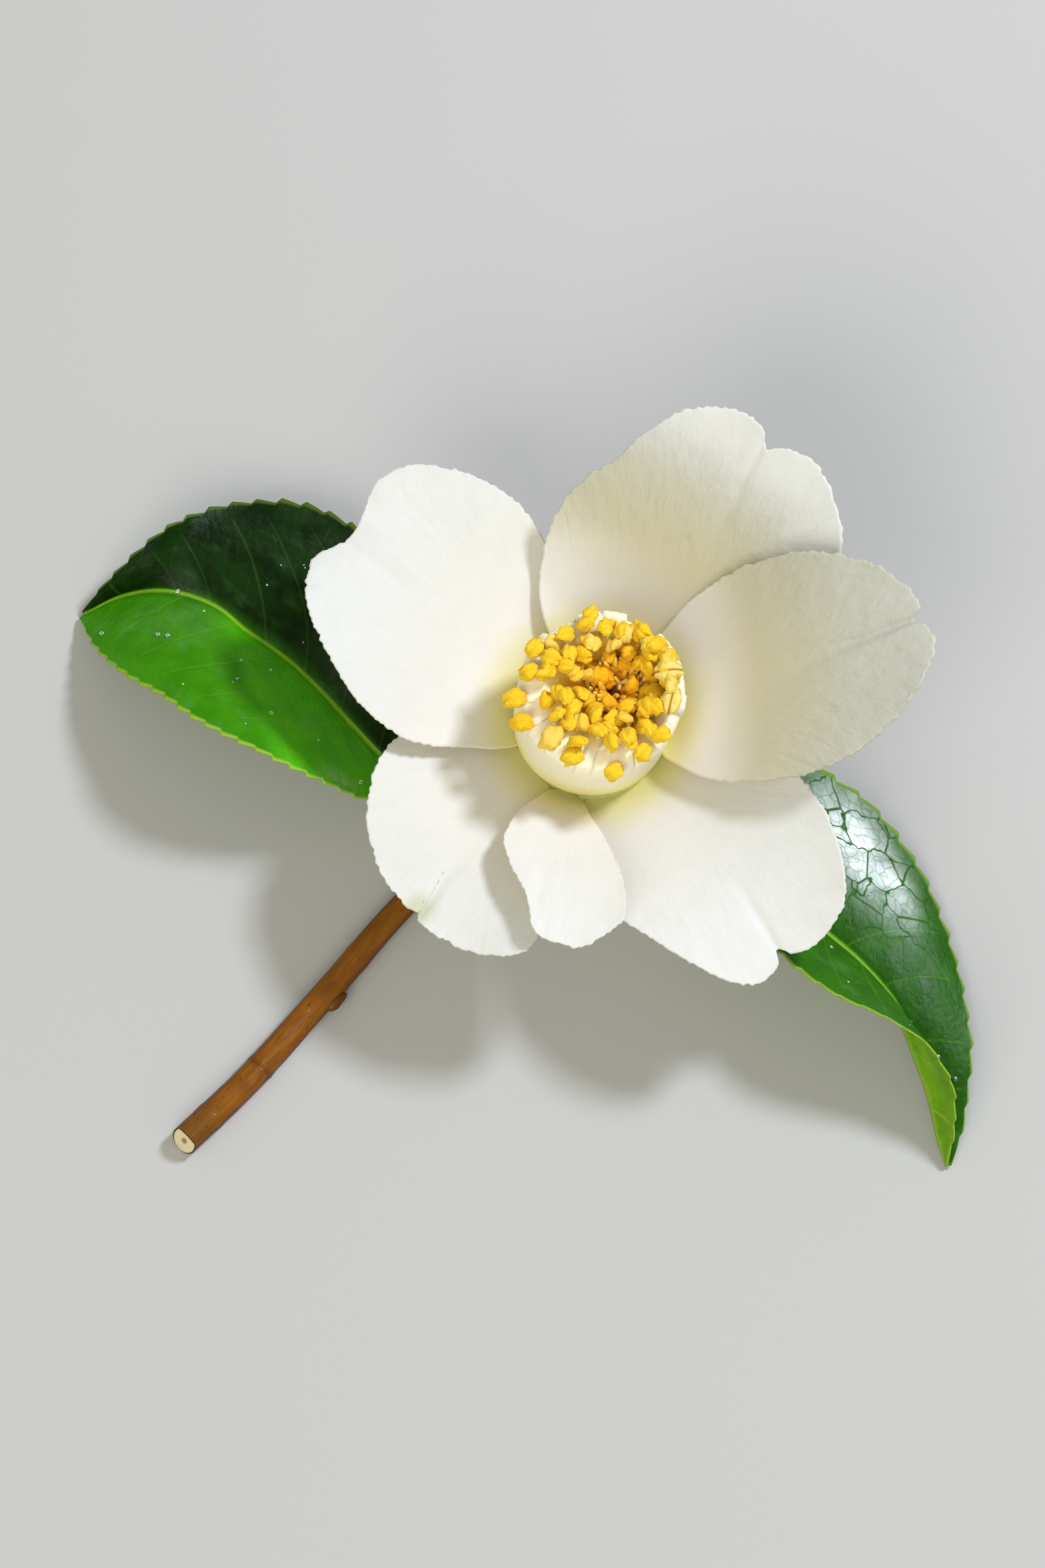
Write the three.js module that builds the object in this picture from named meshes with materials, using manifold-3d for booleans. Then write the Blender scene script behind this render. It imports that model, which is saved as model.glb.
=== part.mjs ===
// A single white camellia, as picked: one open bloom on its own short brown side shoot, with the
// two leaves and the small bud of that shoot. It lies on a level surface with the bloom facing up.
//
// Millimetres, +Z up. The origin is on the surface, under the middle of the bloom.
// Each piece of the plant is one closed body, and pieces that touch keep a small clearance.

import * as THREE from 'three';
import { mergeVertices } from 'three/addons/utils/BufferGeometryUtils.js';
import Module from 'manifold-3d';

const wasm = await Module();
wasm.setup();

// Driving dimensions -----------------------------------------------------------------------------

const PETAL_DEPTH = 0.9; // vertical thickness, which is 0.65 or more across a steep petal
const PETAL_CELLS = 12; // grid cells along each side of a petal's mesh
const PETAL_FOOT = 9; // distance from the bloom's axis where a petal's height profile starts
const FOOT_FADE = 2.4; // how far out a petal's dipped foot reaches

const LEAF_DEPTH = 0.7;
const LEAF_BULGE = 0.8; // how far each half of a blade arches up between midrib and edge
const LEAF_ACROSS = [0, 0.08, 0.52, 1]; // the mesh's lines on each half, from midrib to edge
const MIDRIB_DEPTH = 0.5; // how far the midrib stands out below
const TOOTH_PITCH = 2.4;
const TOOTH_DEPTH = 0.45;
const TOOTH_LEAD = 0.3; // how far a tooth leans to the tip, in pitches
const PETIOLE_RADIUS = [0.9, 0.45];

// The stamens are joined into a thick-walled column: radius, height and how much of the hollow's
// shift each ring of its surface takes, from the foot up over the rim and down into the hollow.
const COLUMN = [
  [9.1, 12.6, 0], [9.2, 17, 0], [9.5, 22.4, 0], [9.25, 23.5, 0], [7.9, 23.9, 0.1],
  [5.4, 22.8, 0.6], [3.7, 21.3, 0.9], [2.7, 19.4, 1], [2.3, 16.6, 1],
];
const COLUMN_RIM = 4; // the ring from which the column's top slopes inward
const COLUMN_SIDES = 28;
const COLUMN_LEAN = [0.1, 0.02]; // sideways shift for each millimetre of height
const HOLLOW_SHIFT = [2.4, 1.5]; // the hollow opens off centre, where the stamens part
const ANTHER = [1.3, 0.9, 0.7]; // half of its length, width and depth
const FILAMENT_RADIUS = 0.34;
const FILAMENT_ROOT = 1.1; // how deep a filament's foot is sunk into the column

const CALYX_FOOT = [1.6, 3.5]; // radius and height where the calyx meets the shoot
const CALYX_RIM = [9.6, 9.3];
const RECEPTACLE_TOP = [8.6, 12.25];
const PERULE_ROOT = 0.55; // how far inside the bowl's surface a scale's inner face lies
// Whorls of scales round the calyx: how many, first azimuth, height share of foot and rim, and
// how far they stand out.
const PERULE_WHORLS = [
  { count: 5, azimuth: 20, foot: 0.16, rim: 1, out: 0.3 },
  { count: 4, azimuth: 65, foot: 0.12, rim: 0.74, out: 0.65 },
];

// Petals, seen from above. A petal rises from its foot at the slope `rise`, which turns into
// `flare` at its tip; `cup` bends its sides up, and `lean` lifts its left side over its neighbour.
const PETALS = {
  petal_left: {
    azimuth: 147, level: 11.9, rise: 0.75, flare: -0.1, reach: 38, cup: 0.01, lean: 0.05,
    dip: 0.3, ripple: [0.35, 4, 0.4],
    outline: [
      [-9.2, -3.2], [-14, -3.9], [-18.6, -4.4], [-22.4, -3.7], [-26.8, -0.4], [-30.4, 5.2],
      [-32.5, 10.2], [-32.9, 13.8], [-31.9, 17.1], [-29.2, 18.7], [-27.5, 20], [-26.4, 22.2],
      [-24.9, 25.8], [-21.2, 27.8], [-16.6, 27.5], [-12.3, 26.3], [-8.2, 23.8], [-4.8, 19],
      [-4.2, 13], [-5.2, 8.3], [-8.3, 4.8], [-9.7, 1],
    ],
  },
  petal_top: {
    azimuth: 56, level: 13.3, rise: 0.85, flare: 0.55, reach: 36, cup: 0.012, lean: 0.05,
    dip: 1.0, ripple: [0.4, 5, 1.2],
    outline: [
      [-4.1, 8.9], [-5.9, 13], [-5.8, 17.6], [-4.2, 21.8], [-1, 25], [3, 27], [6, 29.4],
      [9.6, 31.3], [13.5, 31.9], [17.4, 30.9], [19.6, 29], [19.9, 27], [22, 26.9], [25.2, 25.5],
      [27.4, 21.6], [28.5, 16.6], [27.2, 11.5], [22, 8], [15, 6], [9.5, 4.2], [7.4, 6.6],
      [3.8, 9.1], [-0.4, 9.8],
    ],
  },
  petal_right: {
    azimuth: 8, level: 15.3, rise: 0.8, flare: 0.55, reach: 39, cup: 0.022, lean: 0,
    dip: 1.6, ripple: [0.3, 4, 2],
    outline: [
      [7, 7.1], [9, 10], [12, 12.4], [17.1, 14.3], [24, 14.7], [30.9, 12.8], [35.2, 10],
      [37.1, 7.2], [36.4, 5.7], [38, 4.4], [38.6, 1.8], [37.2, -1.9], [33.2, -6.8],
      [27, -10.4], [19.6, -10.8], [13, -8.7], [9, -4.8], [9.9, -1.2], [9.7, 3],
    ],
  },
  petal_lower_right: {
    azimuth: -54, level: 10.7, rise: 0.7, flare: -0.25, reach: 38, cup: 0.01, lean: 0,
    dip: 0, ripple: [0.35, 4, 0],
    outline: [
      [9.9, -1.4], [14, -2.6], [19, -4.6], [23.2, -8.6], [26.3, -13.1], [28.3, -18.4],
      [28.9, -22.6], [28.2, -25.2], [25.4, -28.3], [23.2, -29.1], [21.2, -28.7],
      [21.2, -30.6], [19.1, -32.6], [15.6, -32.5], [11.5, -30.6], [6.4, -27.2], [2.6, -24],
      [0, -18], [-0.9, -12.5], [-0.6, -9.8], [4.1, -8.9], [8, -5.6],
    ],
  },
  petal_bottom: {
    azimuth: -93, level: 12.9, rise: 0.75, flare: -0.2, reach: 30, cup: 0.015, lean: 0,
    dip: 0.9, ripple: [0.3, 3, 1],
    outline: [
      [-4.8, -8.9], [-6.6, -10], [-8.6, -12.2], [-10.1, -16], [-9.2, -19.4], [-7.4, -23.3],
      [-6.6, -27.3], [-4, -28.7], [-1, -29], [1.6, -27.5], [3.7, -25.4], [3.4, -20.5],
      [1.4, -15], [-0.4, -11.6], [-2, -9.8],
    ],
  },
  petal_lower_left: {
    azimuth: -133, level: 10.7, rise: 0.55, flare: -0.05, reach: 32, cup: 0.01, lean: 0,
    dip: 0, ripple: [0.35, 4, 2.4],
    outline: [
      [-9.1, -3.4], [-14.5, -1.8], [-20, -1.2], [-23.6, -4.6], [-25.4, -9], [-25.7, -14.4],
      [-24.2, -19.5], [-21.4, -23.2], [-19.8, -24.2], [-19.7, -25.4], [-15.6, -28.1],
      [-10, -29.6], [-6.4, -27.6], [-5, -21], [-4.8, -15], [-4.7, -9.6], [-7.2, -6.6],
    ],
  },
};

// Side shoot: its middle line and radius from the cut end to the foot of the bloom.
const TWIG_LINE = [
  [-47, -47.3, 1.62], [-39.7, -40.5, 1.66], [-31.4, -29.4, 1.6], [-22.3, -18.8, 1.52],
  [-10, -7.6, 1.36], [0, 0, 1.14], [3.2, 2.6, 1.3],
];
const TWIG_RADIUS = [1.72, 1.3];
const TWIG_RINGS = [0.055, 0.17, 0.42]; // old scars and joints, as shares of the length

// Leaves: points along the stalk, and along the upper surface's midrib and two edges from the
// blade's foot to its tip. The halves stand at an angle to each other, and both blades twist.
const LEAVES = {
  leaf_left: {
    petiole: [[-14, -8.1, 1.9], [-17, -7.4, 3.1]],
    midrib: [
      [-20, -5.9, 4.3], [-24, -2.5, 4.9], [-34.6, 8.8, 5.6], [-40.1, 13, 5.4], [-43.7, 16.1, 5],
      [-48.1, 18.1, 4], [-51.6, 18.7, 3], [-55.6, 18.2, 1.8], [-59.6, 16.5, 0.6],
    ],
    right: [
      [-19.6, -5.4, 4.3], [-20.2, 0.9, 4.2], [-19.6, 8, 4], [-21.5, 17, 4], [-26, 24.5, 4],
      [-32.8, 28.5, 4.3], [-40.1, 28.8, 5], [-45.9, 27, 6.4], [-50.4, 24, 8], [-56.5, 19.5, 4],
      [-59.7, 16.9, 0.7],
    ],
    left: [
      [-20.4, -6.4, 4.3], [-25.9, -8, 8], [-31.7, -6.7, 12.3], [-39, -3.9, 15.2],
      [-45.2, -0.4, 14.4], [-49.5, 3.3, 12], [-54.3, 7.2, 8.3], [-57.9, 11.7, 4], [-60, 16.1, 0.7],
    ],
  },
  leaf_right: {
    petiole: [[-2.4, -4.4, 1.7], [4, -7.6, 2.6]],
    midrib: [
      [12, -10.4, 4], [20, -16.6, 5], [27.3, -23.3, 5.2], [31.1, -26.7, 5], [35.3, -31.7, 4.3],
      [38.1, -38.4, 3], [39.4, -42.6, 2.1], [40.3, -47, 1.2], [41.2, -50, 0.6],
    ],
    right: [
      [11.5, -10.8, 4.2], [13, -17.5, 8.6], [17, -23.6, 11.6], [21.6, -27.7, 13], [25, -31, 14],
      [28.9, -33.6, 14.3], [32.3, -35, 14], [35.6, -36.6, 13], [38.4, -38.2, 11.6],
      [40.1, -40.2, 10], [41.5, -42.5, 7.8], [41.7, -46.8, 3.8], [41.1, -50.1, 0.8],
    ],
    left: [
      [12.4, -9.9, 4], [16, -4.6, 3.6], [20.6, -2.4, 3], [25.3, -2.8, 2.2], [28.7, -4.7, 1.6],
      [32, -6.9, 1], [34.8, -10, 0.65], [38.2, -14.8, 0.65], [40.7, -20.9, 1.2], [42.7, -28, 1.9],
      [43.8, -36.3, 2.4], [43.5, -40.5, 2.2], [42.6, -46.4, 1.3], [41.5, -50, 0.7],
    ],
  },
};

const SHOOT_BUD_LINE = [[3.7, 3, 1.45], [6.4, 5.8, 1.6], [9, 8.9, 1.25], [11, 11.6, 0.4]];
const SHOOT_BUD_RADIUS = [0.9, 1.7, 1.3, 0.3];

// Rings of stamens: distance from the middle of the column, how many, and filament length.
const STAMEN_RINGS = [
  { radius: 8.5, count: 15, length: 2.8 },
  { radius: 7, count: 12, length: 3.4 },
  { radius: 5.5, count: 10, length: 2.8 },
  { radius: 4.1, count: 7, length: 1.9 },
];

// Helpers ----------------------------------------------------------------------------------------

const UP = new THREE.Vector3(0, 0, 1);
const radians = THREE.MathUtils.degToRad;
const { lerp, clamp } = THREE.MathUtils;

function vector(point) {
  return new THREE.Vector3(...point);
}

// Repeatable random numbers from 0 to 1.
function makeRandom(seed) {
  let state = seed;
  return () => {
    state = (state * 16807) % 2147483647;
    return state / 2147483647;
  };
}

// The value at share t of a list of evenly spaced values.
function along(values, t) {
  const place = clamp(t, 0, 1) * (values.length - 1);
  const index = Math.min(Math.floor(place), values.length - 2);
  return lerp(values[index], values[index + 1], place - index);
}

function signedVolume(positions, indices) {
  const [a, b, c] = [new THREE.Vector3(), new THREE.Vector3(), new THREE.Vector3()];
  let total = 0;
  for (let i = 0; i < indices.length; i += 3) {
    a.fromArray(positions, 3 * indices[i]);
    b.fromArray(positions, 3 * indices[i + 1]);
    c.fromArray(positions, 3 * indices[i + 2]);
    total += a.dot(b.cross(c)) / 6;
  }
  return total;
}

// A geometry from vertices and triangles, turned so that its faces point out.
function closedGeometry(positions, indices) {
  const outward = signedVolume(positions, indices) > 0 ? indices : indices.slice().reverse();
  const geometry = new THREE.BufferGeometry();
  geometry.setAttribute('position', new THREE.Float32BufferAttribute(positions, 3));
  geometry.setIndex(outward);
  return geometry;
}

// A closed sheet on a grid. place(u, v, upper) gives the point at u and v from -1 to 1 on the
// upper or the lower face. Both faces are split into triangles alike.
function sheet(cellsU, cellsV, place) {
  const positions = [];
  for (const upper of [true, false]) {
    for (let i = 0; i <= cellsU; i++) {
      for (let j = 0; j <= cellsV; j++) {
        positions.push(...place((2 * i) / cellsU - 1, (2 * j) / cellsV - 1, upper));
      }
    }
  }
  const row = cellsV + 1;
  const layer = (cellsU + 1) * row;
  const indices = [];
  for (let i = 0; i < cellsU; i++) {
    for (let j = 0; j < cellsV; j++) {
      const [a, b, c, d] = [i * row + j, (i + 1) * row + j, (i + 1) * row + j + 1, i * row + j + 1];
      indices.push(a, b, c, a, c, d);
      indices.push(layer + a, layer + c, layer + b, layer + a, layer + d, layer + c);
    }
  }
  const joinRim = (a, b) => indices.push(a, layer + a, b, b, layer + a, layer + b);
  for (let i = 0; i < cellsU; i++) {
    joinRim(i * row, (i + 1) * row);
    joinRim((i + 1) * row + cellsV, i * row + cellsV);
  }
  for (let j = 0; j < cellsV; j++) {
    joinRim(j + 1, j);
    joinRim(cellsU * row + j, cellsU * row + j + 1);
  }
  return closedGeometry(positions, indices);
}

// Turns a point of the square grid into its ring (0 in the middle, 1 at the edge) and the share
// of a turn that it has gone round that ring.
function ringAndTurn(u, v) {
  const ring = Math.max(Math.abs(u), Math.abs(v));
  if (ring === 0) return [0, 0];
  if (Math.abs(u) >= Math.abs(v)) return [ring, ((u > 0 ? 0 : 0.5) + v / u / 8 + 1) % 1];
  return [ring, (v > 0 ? 0.25 : 0.75) - u / v / 8];
}

// A closed body through rings of points, with the same number of points in each ring.
function loft(rings) {
  const sides = rings[0].length;
  const positions = rings.flat().flatMap((point) => point.toArray());
  const indices = [];
  for (let i = 0; i < rings.length - 1; i++) {
    for (let j = 0; j < sides; j++) {
      const next = (j + 1) % sides;
      const [a, b] = [i * sides + j, i * sides + next];
      indices.push(a, b, b + sides, a, b + sides, a + sides);
    }
  }
  for (const [ring, order] of [[0, 1], [rings.length - 1, -1]]) {
    const middle = positions.length / 3;
    const centre = rings[ring].reduce((sum, p) => sum.add(p), new THREE.Vector3());
    positions.push(...centre.divideScalar(sides).toArray());
    for (let j = 0; j < sides; j++) {
      const [a, b] = [ring * sides + j, ring * sides + ((j + 1) % sides)];
      indices.push(middle, ...(order > 0 ? [b, a] : [a, b]));
    }
  }
  return closedGeometry(positions, indices);
}

// Round rings along a curve. radiusAt gives the radius at each share of the length.
function tubeRings(curve, steps, sides, radiusAt) {
  const rings = [];
  for (let i = 0; i <= steps; i++) {
    const share = i / steps;
    const middle = curve.getPointAt(share);
    const ahead = curve.getTangentAt(share);
    const across = new THREE.Vector3().crossVectors(ahead, UP).normalize();
    const up = new THREE.Vector3().crossVectors(across, ahead);
    const radius = radiusAt(share);
    rings.push(
      Array.from({ length: sides }, (_, j) => {
        const angle = (2 * Math.PI * (j + 0.5)) / sides;
        return middle
          .clone()
          .addScaledVector(across, radius * Math.cos(angle))
          .addScaledVector(up, radius * Math.sin(angle));
      }),
    );
  }
  return rings;
}

function toManifold(geometry) {
  const bare = geometry.clone();
  bare.deleteAttribute('normal');
  bare.deleteAttribute('uv');
  const merged = mergeVertices(bare, 1e-4);
  return new wasm.Manifold(
    new wasm.Mesh({
      numProp: 3,
      vertProperties: Float32Array.from(merged.attributes.position.array),
      triVerts: Uint32Array.from(merged.index.array),
    }),
  );
}

// Brings a solid back as a geometry, without slivers shorter than 0.02 mm.
function toGeometry(manifold) {
  const { vertProperties, triVerts } = manifold.simplify(0.02).getMesh();
  return closedGeometry(Array.from(vertProperties), Array.from(triVerts));
}

// Joins closed bodies that run into each other.
function fuse(geometries) {
  return toGeometry(wasm.Manifold.union(geometries.map(toManifold)));
}

function cutAtSurface(geometry) {
  const box = new THREE.BoxGeometry(400, 400, 20);
  box.translate(0, 0, -10);
  return toGeometry(toManifold(geometry).subtract(toManifold(box)));
}

// Petals -----------------------------------------------------------------------------------------

function petalHeight(petal, x, y) {
  const turn = radians(petal.azimuth);
  const out = x * Math.cos(turn) + y * Math.sin(turn) - PETAL_FOOT;
  const aside = y * Math.cos(turn) - x * Math.sin(turn);
  const run = (out + Math.sqrt(out * out + 4)) / 2;
  const bend = (petal.flare - petal.rise) / (2 * (petal.reach - PETAL_FOOT));
  const fromFoot = (Math.hypot(x, y) - PETAL_FOOT) / FOOT_FADE;
  const dip = petal.dip * Math.exp(-(fromFoot ** 2));
  const slope = petal.rise * run + bend * run * run;
  return petal.level + slope + petal.cup * aside * aside + petal.lean * aside - dip;
}

function petalGeometry(petal) {
  const corners = petal.outline.map(([x, y]) => new THREE.Vector3(x, y, 0));
  const edge = new THREE.CatmullRomCurve3(corners, true, 'catmullrom', 0.5);
  const centre = corners.reduce((sum, p) => sum.add(p), new THREE.Vector3());
  centre.divideScalar(corners.length);
  const [height, waves, phase] = petal.ripple;
  return sheet(PETAL_CELLS, PETAL_CELLS, (u, v, upper) => {
    const [ring, turn] = ringAndTurn(u, v);
    const { x, y } = centre.clone().lerp(edge.getPointAt(turn), ring);
    const ripple = height * ring ** 4 * Math.sin(2 * Math.PI * waves * turn + phase);
    const z = petalHeight(petal, x, y) + ripple;
    return [x, y, upper ? z : z - PETAL_DEPTH];
  });
}

// Leaves -----------------------------------------------------------------------------------------

// The point of a blade's upper surface at share t of its length and share w across, from -1 at the
// left edge to 1 at the right edge.
function leafPoint(curves, t, w) {
  const [share, out] = [clamp(t, 0, 1), Math.abs(w)];
  const spine = curves.midrib.getPointAt(share);
  const edge = (w < 0 ? curves.left : curves.right).getPointAt(share);
  const across = edge.clone().sub(spine).multiplyScalar(Math.sign(w));
  const above = across.cross(curves.midrib.getTangentAt(share)).normalize();
  const bulge = LEAF_BULGE * 4 * out * (1 - out) * Math.sin(Math.PI * share);
  return spine.lerp(edge, out).addScaledVector(above, bulge);
}

function leafNormal(curves, t, w) {
  const step = 0.01;
  const [left, right] = [clamp(w - step, -1, 1), clamp(w + step, -1, 1)];
  const forward = leafPoint(curves, t + step, w).sub(leafPoint(curves, t - step, w));
  const across = leafPoint(curves, t, right).sub(leafPoint(curves, t, left));
  return across.cross(forward).normalize();
}

function leafGeometry(leaf) {
  const curves = {};
  for (const line of ['midrib', 'left', 'right']) {
    curves[line] = new THREE.CatmullRomCurve3(leaf[line].map(vector));
  }
  const teeth = Math.round(curves.right.getLength() / TOOTH_PITCH);
  const lines = LEAF_ACROSS.length - 1;
  const blade = sheet(2 * teeth, 2 * lines, (u, v, upper) => {
    const station = Math.round((u + 1) * teeth);
    const line = Math.round(Math.abs(v) * lines);
    const isTooth = station % 2 === 1 && line === lines;
    const t = Math.min((station + (isTooth ? 2 * TOOTH_LEAD : 0)) / (2 * teeth), 1);
    const w = Math.sign(v) * LEAF_ACROSS[line];
    const point = leafPoint(curves, t, w);
    const normal = leafNormal(curves, t, w);
    if (isTooth) {
      const out = point.clone().sub(leafPoint(curves, t, 0.9 * w)).normalize();
      point.addScaledVector(out, TOOTH_DEPTH * Math.min(1, 4 * Math.sin(Math.PI * t)));
    }
    if (!upper) {
      const ridge = line === 0 ? MIDRIB_DEPTH * (1 - t) : 0;
      point.addScaledVector(normal, -LEAF_DEPTH - ridge);
    }
    return point.toArray();
  });
  const stalkLine = [...leaf.petiole, ...leaf.midrib.slice(0, 2)].map(vector);
  stalkLine[stalkLine.length - 1].z -= 0.3;
  const stalk = new THREE.CatmullRomCurve3(stalkLine);
  const stalkRadius = (t) => lerp(...PETIOLE_RADIUS, t);
  const petiole = loft(tubeRings(stalk, 12, 8, stalkRadius));
  return cutAtSurface(fuse([blade, petiole]));
}

// Stamens and pistil -----------------------------------------------------------------------------

// The middle of the column at a height, with a share of the hollow's shift.
function columnMiddle(z, shift) {
  const rise = z - COLUMN[0][1];
  const x = COLUMN_LEAN[0] * rise + HOLLOW_SHIFT[0] * shift;
  const y = COLUMN_LEAN[1] * rise + HOLLOW_SHIFT[1] * shift;
  return new THREE.Vector3(x, y, z);
}

function ringAt(middle, radius, sides) {
  return Array.from({ length: sides }, (_, j) => {
    const angle = (2 * Math.PI * j) / sides;
    const offset = new THREE.Vector3(Math.cos(angle), Math.sin(angle), 0);
    return offset.multiplyScalar(radius).add(middle);
  });
}

// The point on the column's top at a radius and an angle.
function columnTop(radius, angle) {
  const upper = COLUMN.slice(COLUMN_RIM - 1);
  const index = upper.findIndex(([r]) => r <= radius);
  const [outer, inner] = [upper[index - 1], upper[index]];
  const share = (outer[0] - radius) / (outer[0] - inner[0]);
  const z = lerp(outer[1], inner[1], share);
  const middle = columnMiddle(z, lerp(outer[2], inner[2], share));
  return middle.add(new THREE.Vector3(radius * Math.cos(angle), radius * Math.sin(angle), 0));
}

function stamen(root, direction, length, twist) {
  const tip = root.clone().addScaledVector(direction, length + FILAMENT_ROOT);
  const foot = root.clone().addScaledVector(direction, -FILAMENT_ROOT);
  const line = new THREE.LineCurve3(foot, tip);
  const filament = loft(tubeRings(line, 1, 4, () => FILAMENT_RADIUS));
  const anther = new THREE.SphereGeometry(1, 6, 4);
  anther.scale(...ANTHER);
  anther.rotateX(twist[0]);
  anther.rotateY(twist[1]);
  anther.rotateZ(twist[2]);
  anther.translate(...tip.toArray());
  return [filament, anther];
}

function stamensGeometry() {
  const random = makeRandom(71);
  const spread = (size) => (random() - 0.5) * 2 * size;
  const rings = COLUMN.map(([r, z, shift]) => ringAt(columnMiddle(z, shift), r, COLUMN_SIDES));
  const pieces = [loft(rings)];
  for (const { radius, count, length } of STAMEN_RINGS) {
    for (let i = 0; i < count; i++) {
      const angle = (2 * Math.PI * (i + spread(0.28))) / count;
      const root = columnTop(radius + spread(0.35), angle);
      const outward = 0.16 + spread(0.22);
      const direction = new THREE.Vector3(
        outward * Math.cos(angle) + spread(0.12),
        outward * Math.sin(angle) + spread(0.12),
        1,
      ).normalize();
      const twist = [spread(0.5), spread(0.7), random() * Math.PI];
      pieces.push(...stamen(root, direction, length + spread(0.9) - FILAMENT_ROOT, twist));
    }
  }
  return fuse(pieces);
}

function pistilGeometry() {
  const floor = COLUMN[COLUMN.length - 1][1] + 0.35;
  const profile = [[0.9, 0], [1.35, 0.5], [1.35, 1.5], [0.6, 2.6], [0.42, 4.8]];
  const rings = profile.map(([r, z]) => ringAt(columnMiddle(floor + z, 1), r, 8));
  const fork = columnMiddle(floor + 4.6, 1);
  const lobes = [0, 1, 2].map((i) => {
    const angle = radians(120 * i + 20);
    const side = new THREE.Vector3(Math.cos(angle), Math.sin(angle), 0);
    const end = fork.clone().addScaledVector(side, 0.9).addScaledVector(UP, 1.1);
    return loft(tubeRings(new THREE.LineCurve3(fork, end), 1, 6, () => 0.32));
  });
  return fuse([loft(rings), ...lobes]);
}

// Calyx ------------------------------------------------------------------------------------------

// The bowl's radius and height at a share of the way from its foot to its rim.
function bowl(share) {
  const quarter = (clamp(share, 0, 1) * Math.PI) / 2;
  return [
    lerp(CALYX_FOOT[0], CALYX_RIM[0], Math.sin(quarter) ** 0.9),
    lerp(CALYX_FOOT[1], CALYX_RIM[1], 1 - Math.cos(quarter)),
  ];
}

function bowlPoint(share, azimuth, out) {
  const [radius, z] = bowl(share);
  const facing = (clamp(share, 0, 1) * Math.PI) / 2;
  const r = radius + out * Math.sin(facing);
  return [r * Math.cos(azimuth), r * Math.sin(azimuth), z - out * Math.cos(facing)];
}

function perule(azimuth, whorl) {
  const halfAngle = (1.25 * Math.PI) / whorl.count;
  return sheet(4, 4, (u, v, upper) => {
    const [ring, turn] = ringAndTurn(u, v);
    const across = ring * Math.cos(2 * Math.PI * turn);
    const up = ring * Math.sin(2 * Math.PI * turn);
    const share = lerp(whorl.foot, whorl.rim, (up + 1) / 2);
    const out = upper ? whorl.out : -PERULE_ROOT;
    return bowlPoint(share, azimuth + halfAngle * across, out);
  });
}

function calyxGeometry() {
  const shares = [0, 0.2, 0.45, 0.7, 1];
  const rings = shares.map((share) => {
    const [radius, z] = bowl(share);
    return ringAt(new THREE.Vector3(0, 0, z), radius - 0.25, 24);
  });
  rings.push(ringAt(new THREE.Vector3(0, 0, RECEPTACLE_TOP[1]), RECEPTACLE_TOP[0], 24));
  const pieces = [loft(rings)];
  for (const whorl of PERULE_WHORLS) {
    for (let i = 0; i < whorl.count; i++) {
      pieces.push(perule(radians(whorl.azimuth + (360 * i) / whorl.count), whorl));
    }
  }
  return fuse(pieces);
}

// Side shoot -------------------------------------------------------------------------------------

function twigGeometry() {
  const line = new THREE.CatmullRomCurve3(TWIG_LINE.map(vector));
  const radiusAt = (t) => {
    const scars = TWIG_RINGS.map((scar) => 0.28 * Math.exp(-(((t - scar) / 0.012) ** 2)));
    return lerp(...TWIG_RADIUS, t) + Math.max(...scars);
  };
  const rings = tubeRings(line, 44, 10, radiusAt);
  const ahead = line.getTangentAt(0);
  const cutMiddle = line.getPointAt(0);
  for (const point of rings[0]) point.addScaledVector(ahead, 0.5 * (point.z - cutMiddle.z));
  const sideBud = new THREE.SphereGeometry(1, 8, 5);
  sideBud.scale(1.5, 0.8, 0.8);
  sideBud.rotateZ(radians(40));
  sideBud.translate(-30, -30.2, 1.7);
  return cutAtSurface(fuse([loft(rings), sideBud]));
}

function shootBudGeometry() {
  const line = new THREE.CatmullRomCurve3(SHOOT_BUD_LINE.map(vector));
  return cutAtSurface(loft(tubeRings(line, 9, 8, (t) => along(SHOOT_BUD_RADIUS, t))));
}

// The whole flower -------------------------------------------------------------------------------

function piece(name, geometry, color, roughness) {
  const bare = geometry.clone();
  bare.computeVertexNormals();
  const material = new THREE.MeshStandardMaterial({ color, roughness, metalness: 0 });
  const mesh = new THREE.Mesh(bare, material);
  mesh.name = name;
  return mesh;
}

const flower = new THREE.Group();
for (const [name, petal] of Object.entries(PETALS)) {
  flower.add(piece(name, petalGeometry(petal), 0xf4f3ea, 0.6));
}
flower.add(piece('stamens', stamensGeometry(), 0xf0c040, 0.7));
flower.add(piece('pistil', pistilGeometry(), 0xe8e6a0, 0.6));
flower.add(piece('calyx', calyxGeometry(), 0x8fa35a, 0.7));
flower.add(piece('twig', twigGeometry(), 0x9a6238, 0.5));
flower.add(piece('shoot_bud', shootBudGeometry(), 0x9fb05a, 0.5));
for (const [name, leaf] of Object.entries(LEAVES)) {
  flower.add(piece(name, leafGeometry(leaf), 0x1f5a22, 0.3));
}

export default flower;
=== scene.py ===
# %% [markdown]
# # A single white camellia, as picked
# The flower lies on a level surface with its bloom facing up. Six petals stand round a thick
# column of stamens, on a green calyx, at the end of a brown side shoot with two leathery leaves.
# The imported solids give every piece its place. This notebook grows a finer skin on each of them,
# with veins, teeth and nicks, and paints it with procedural materials.

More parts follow.
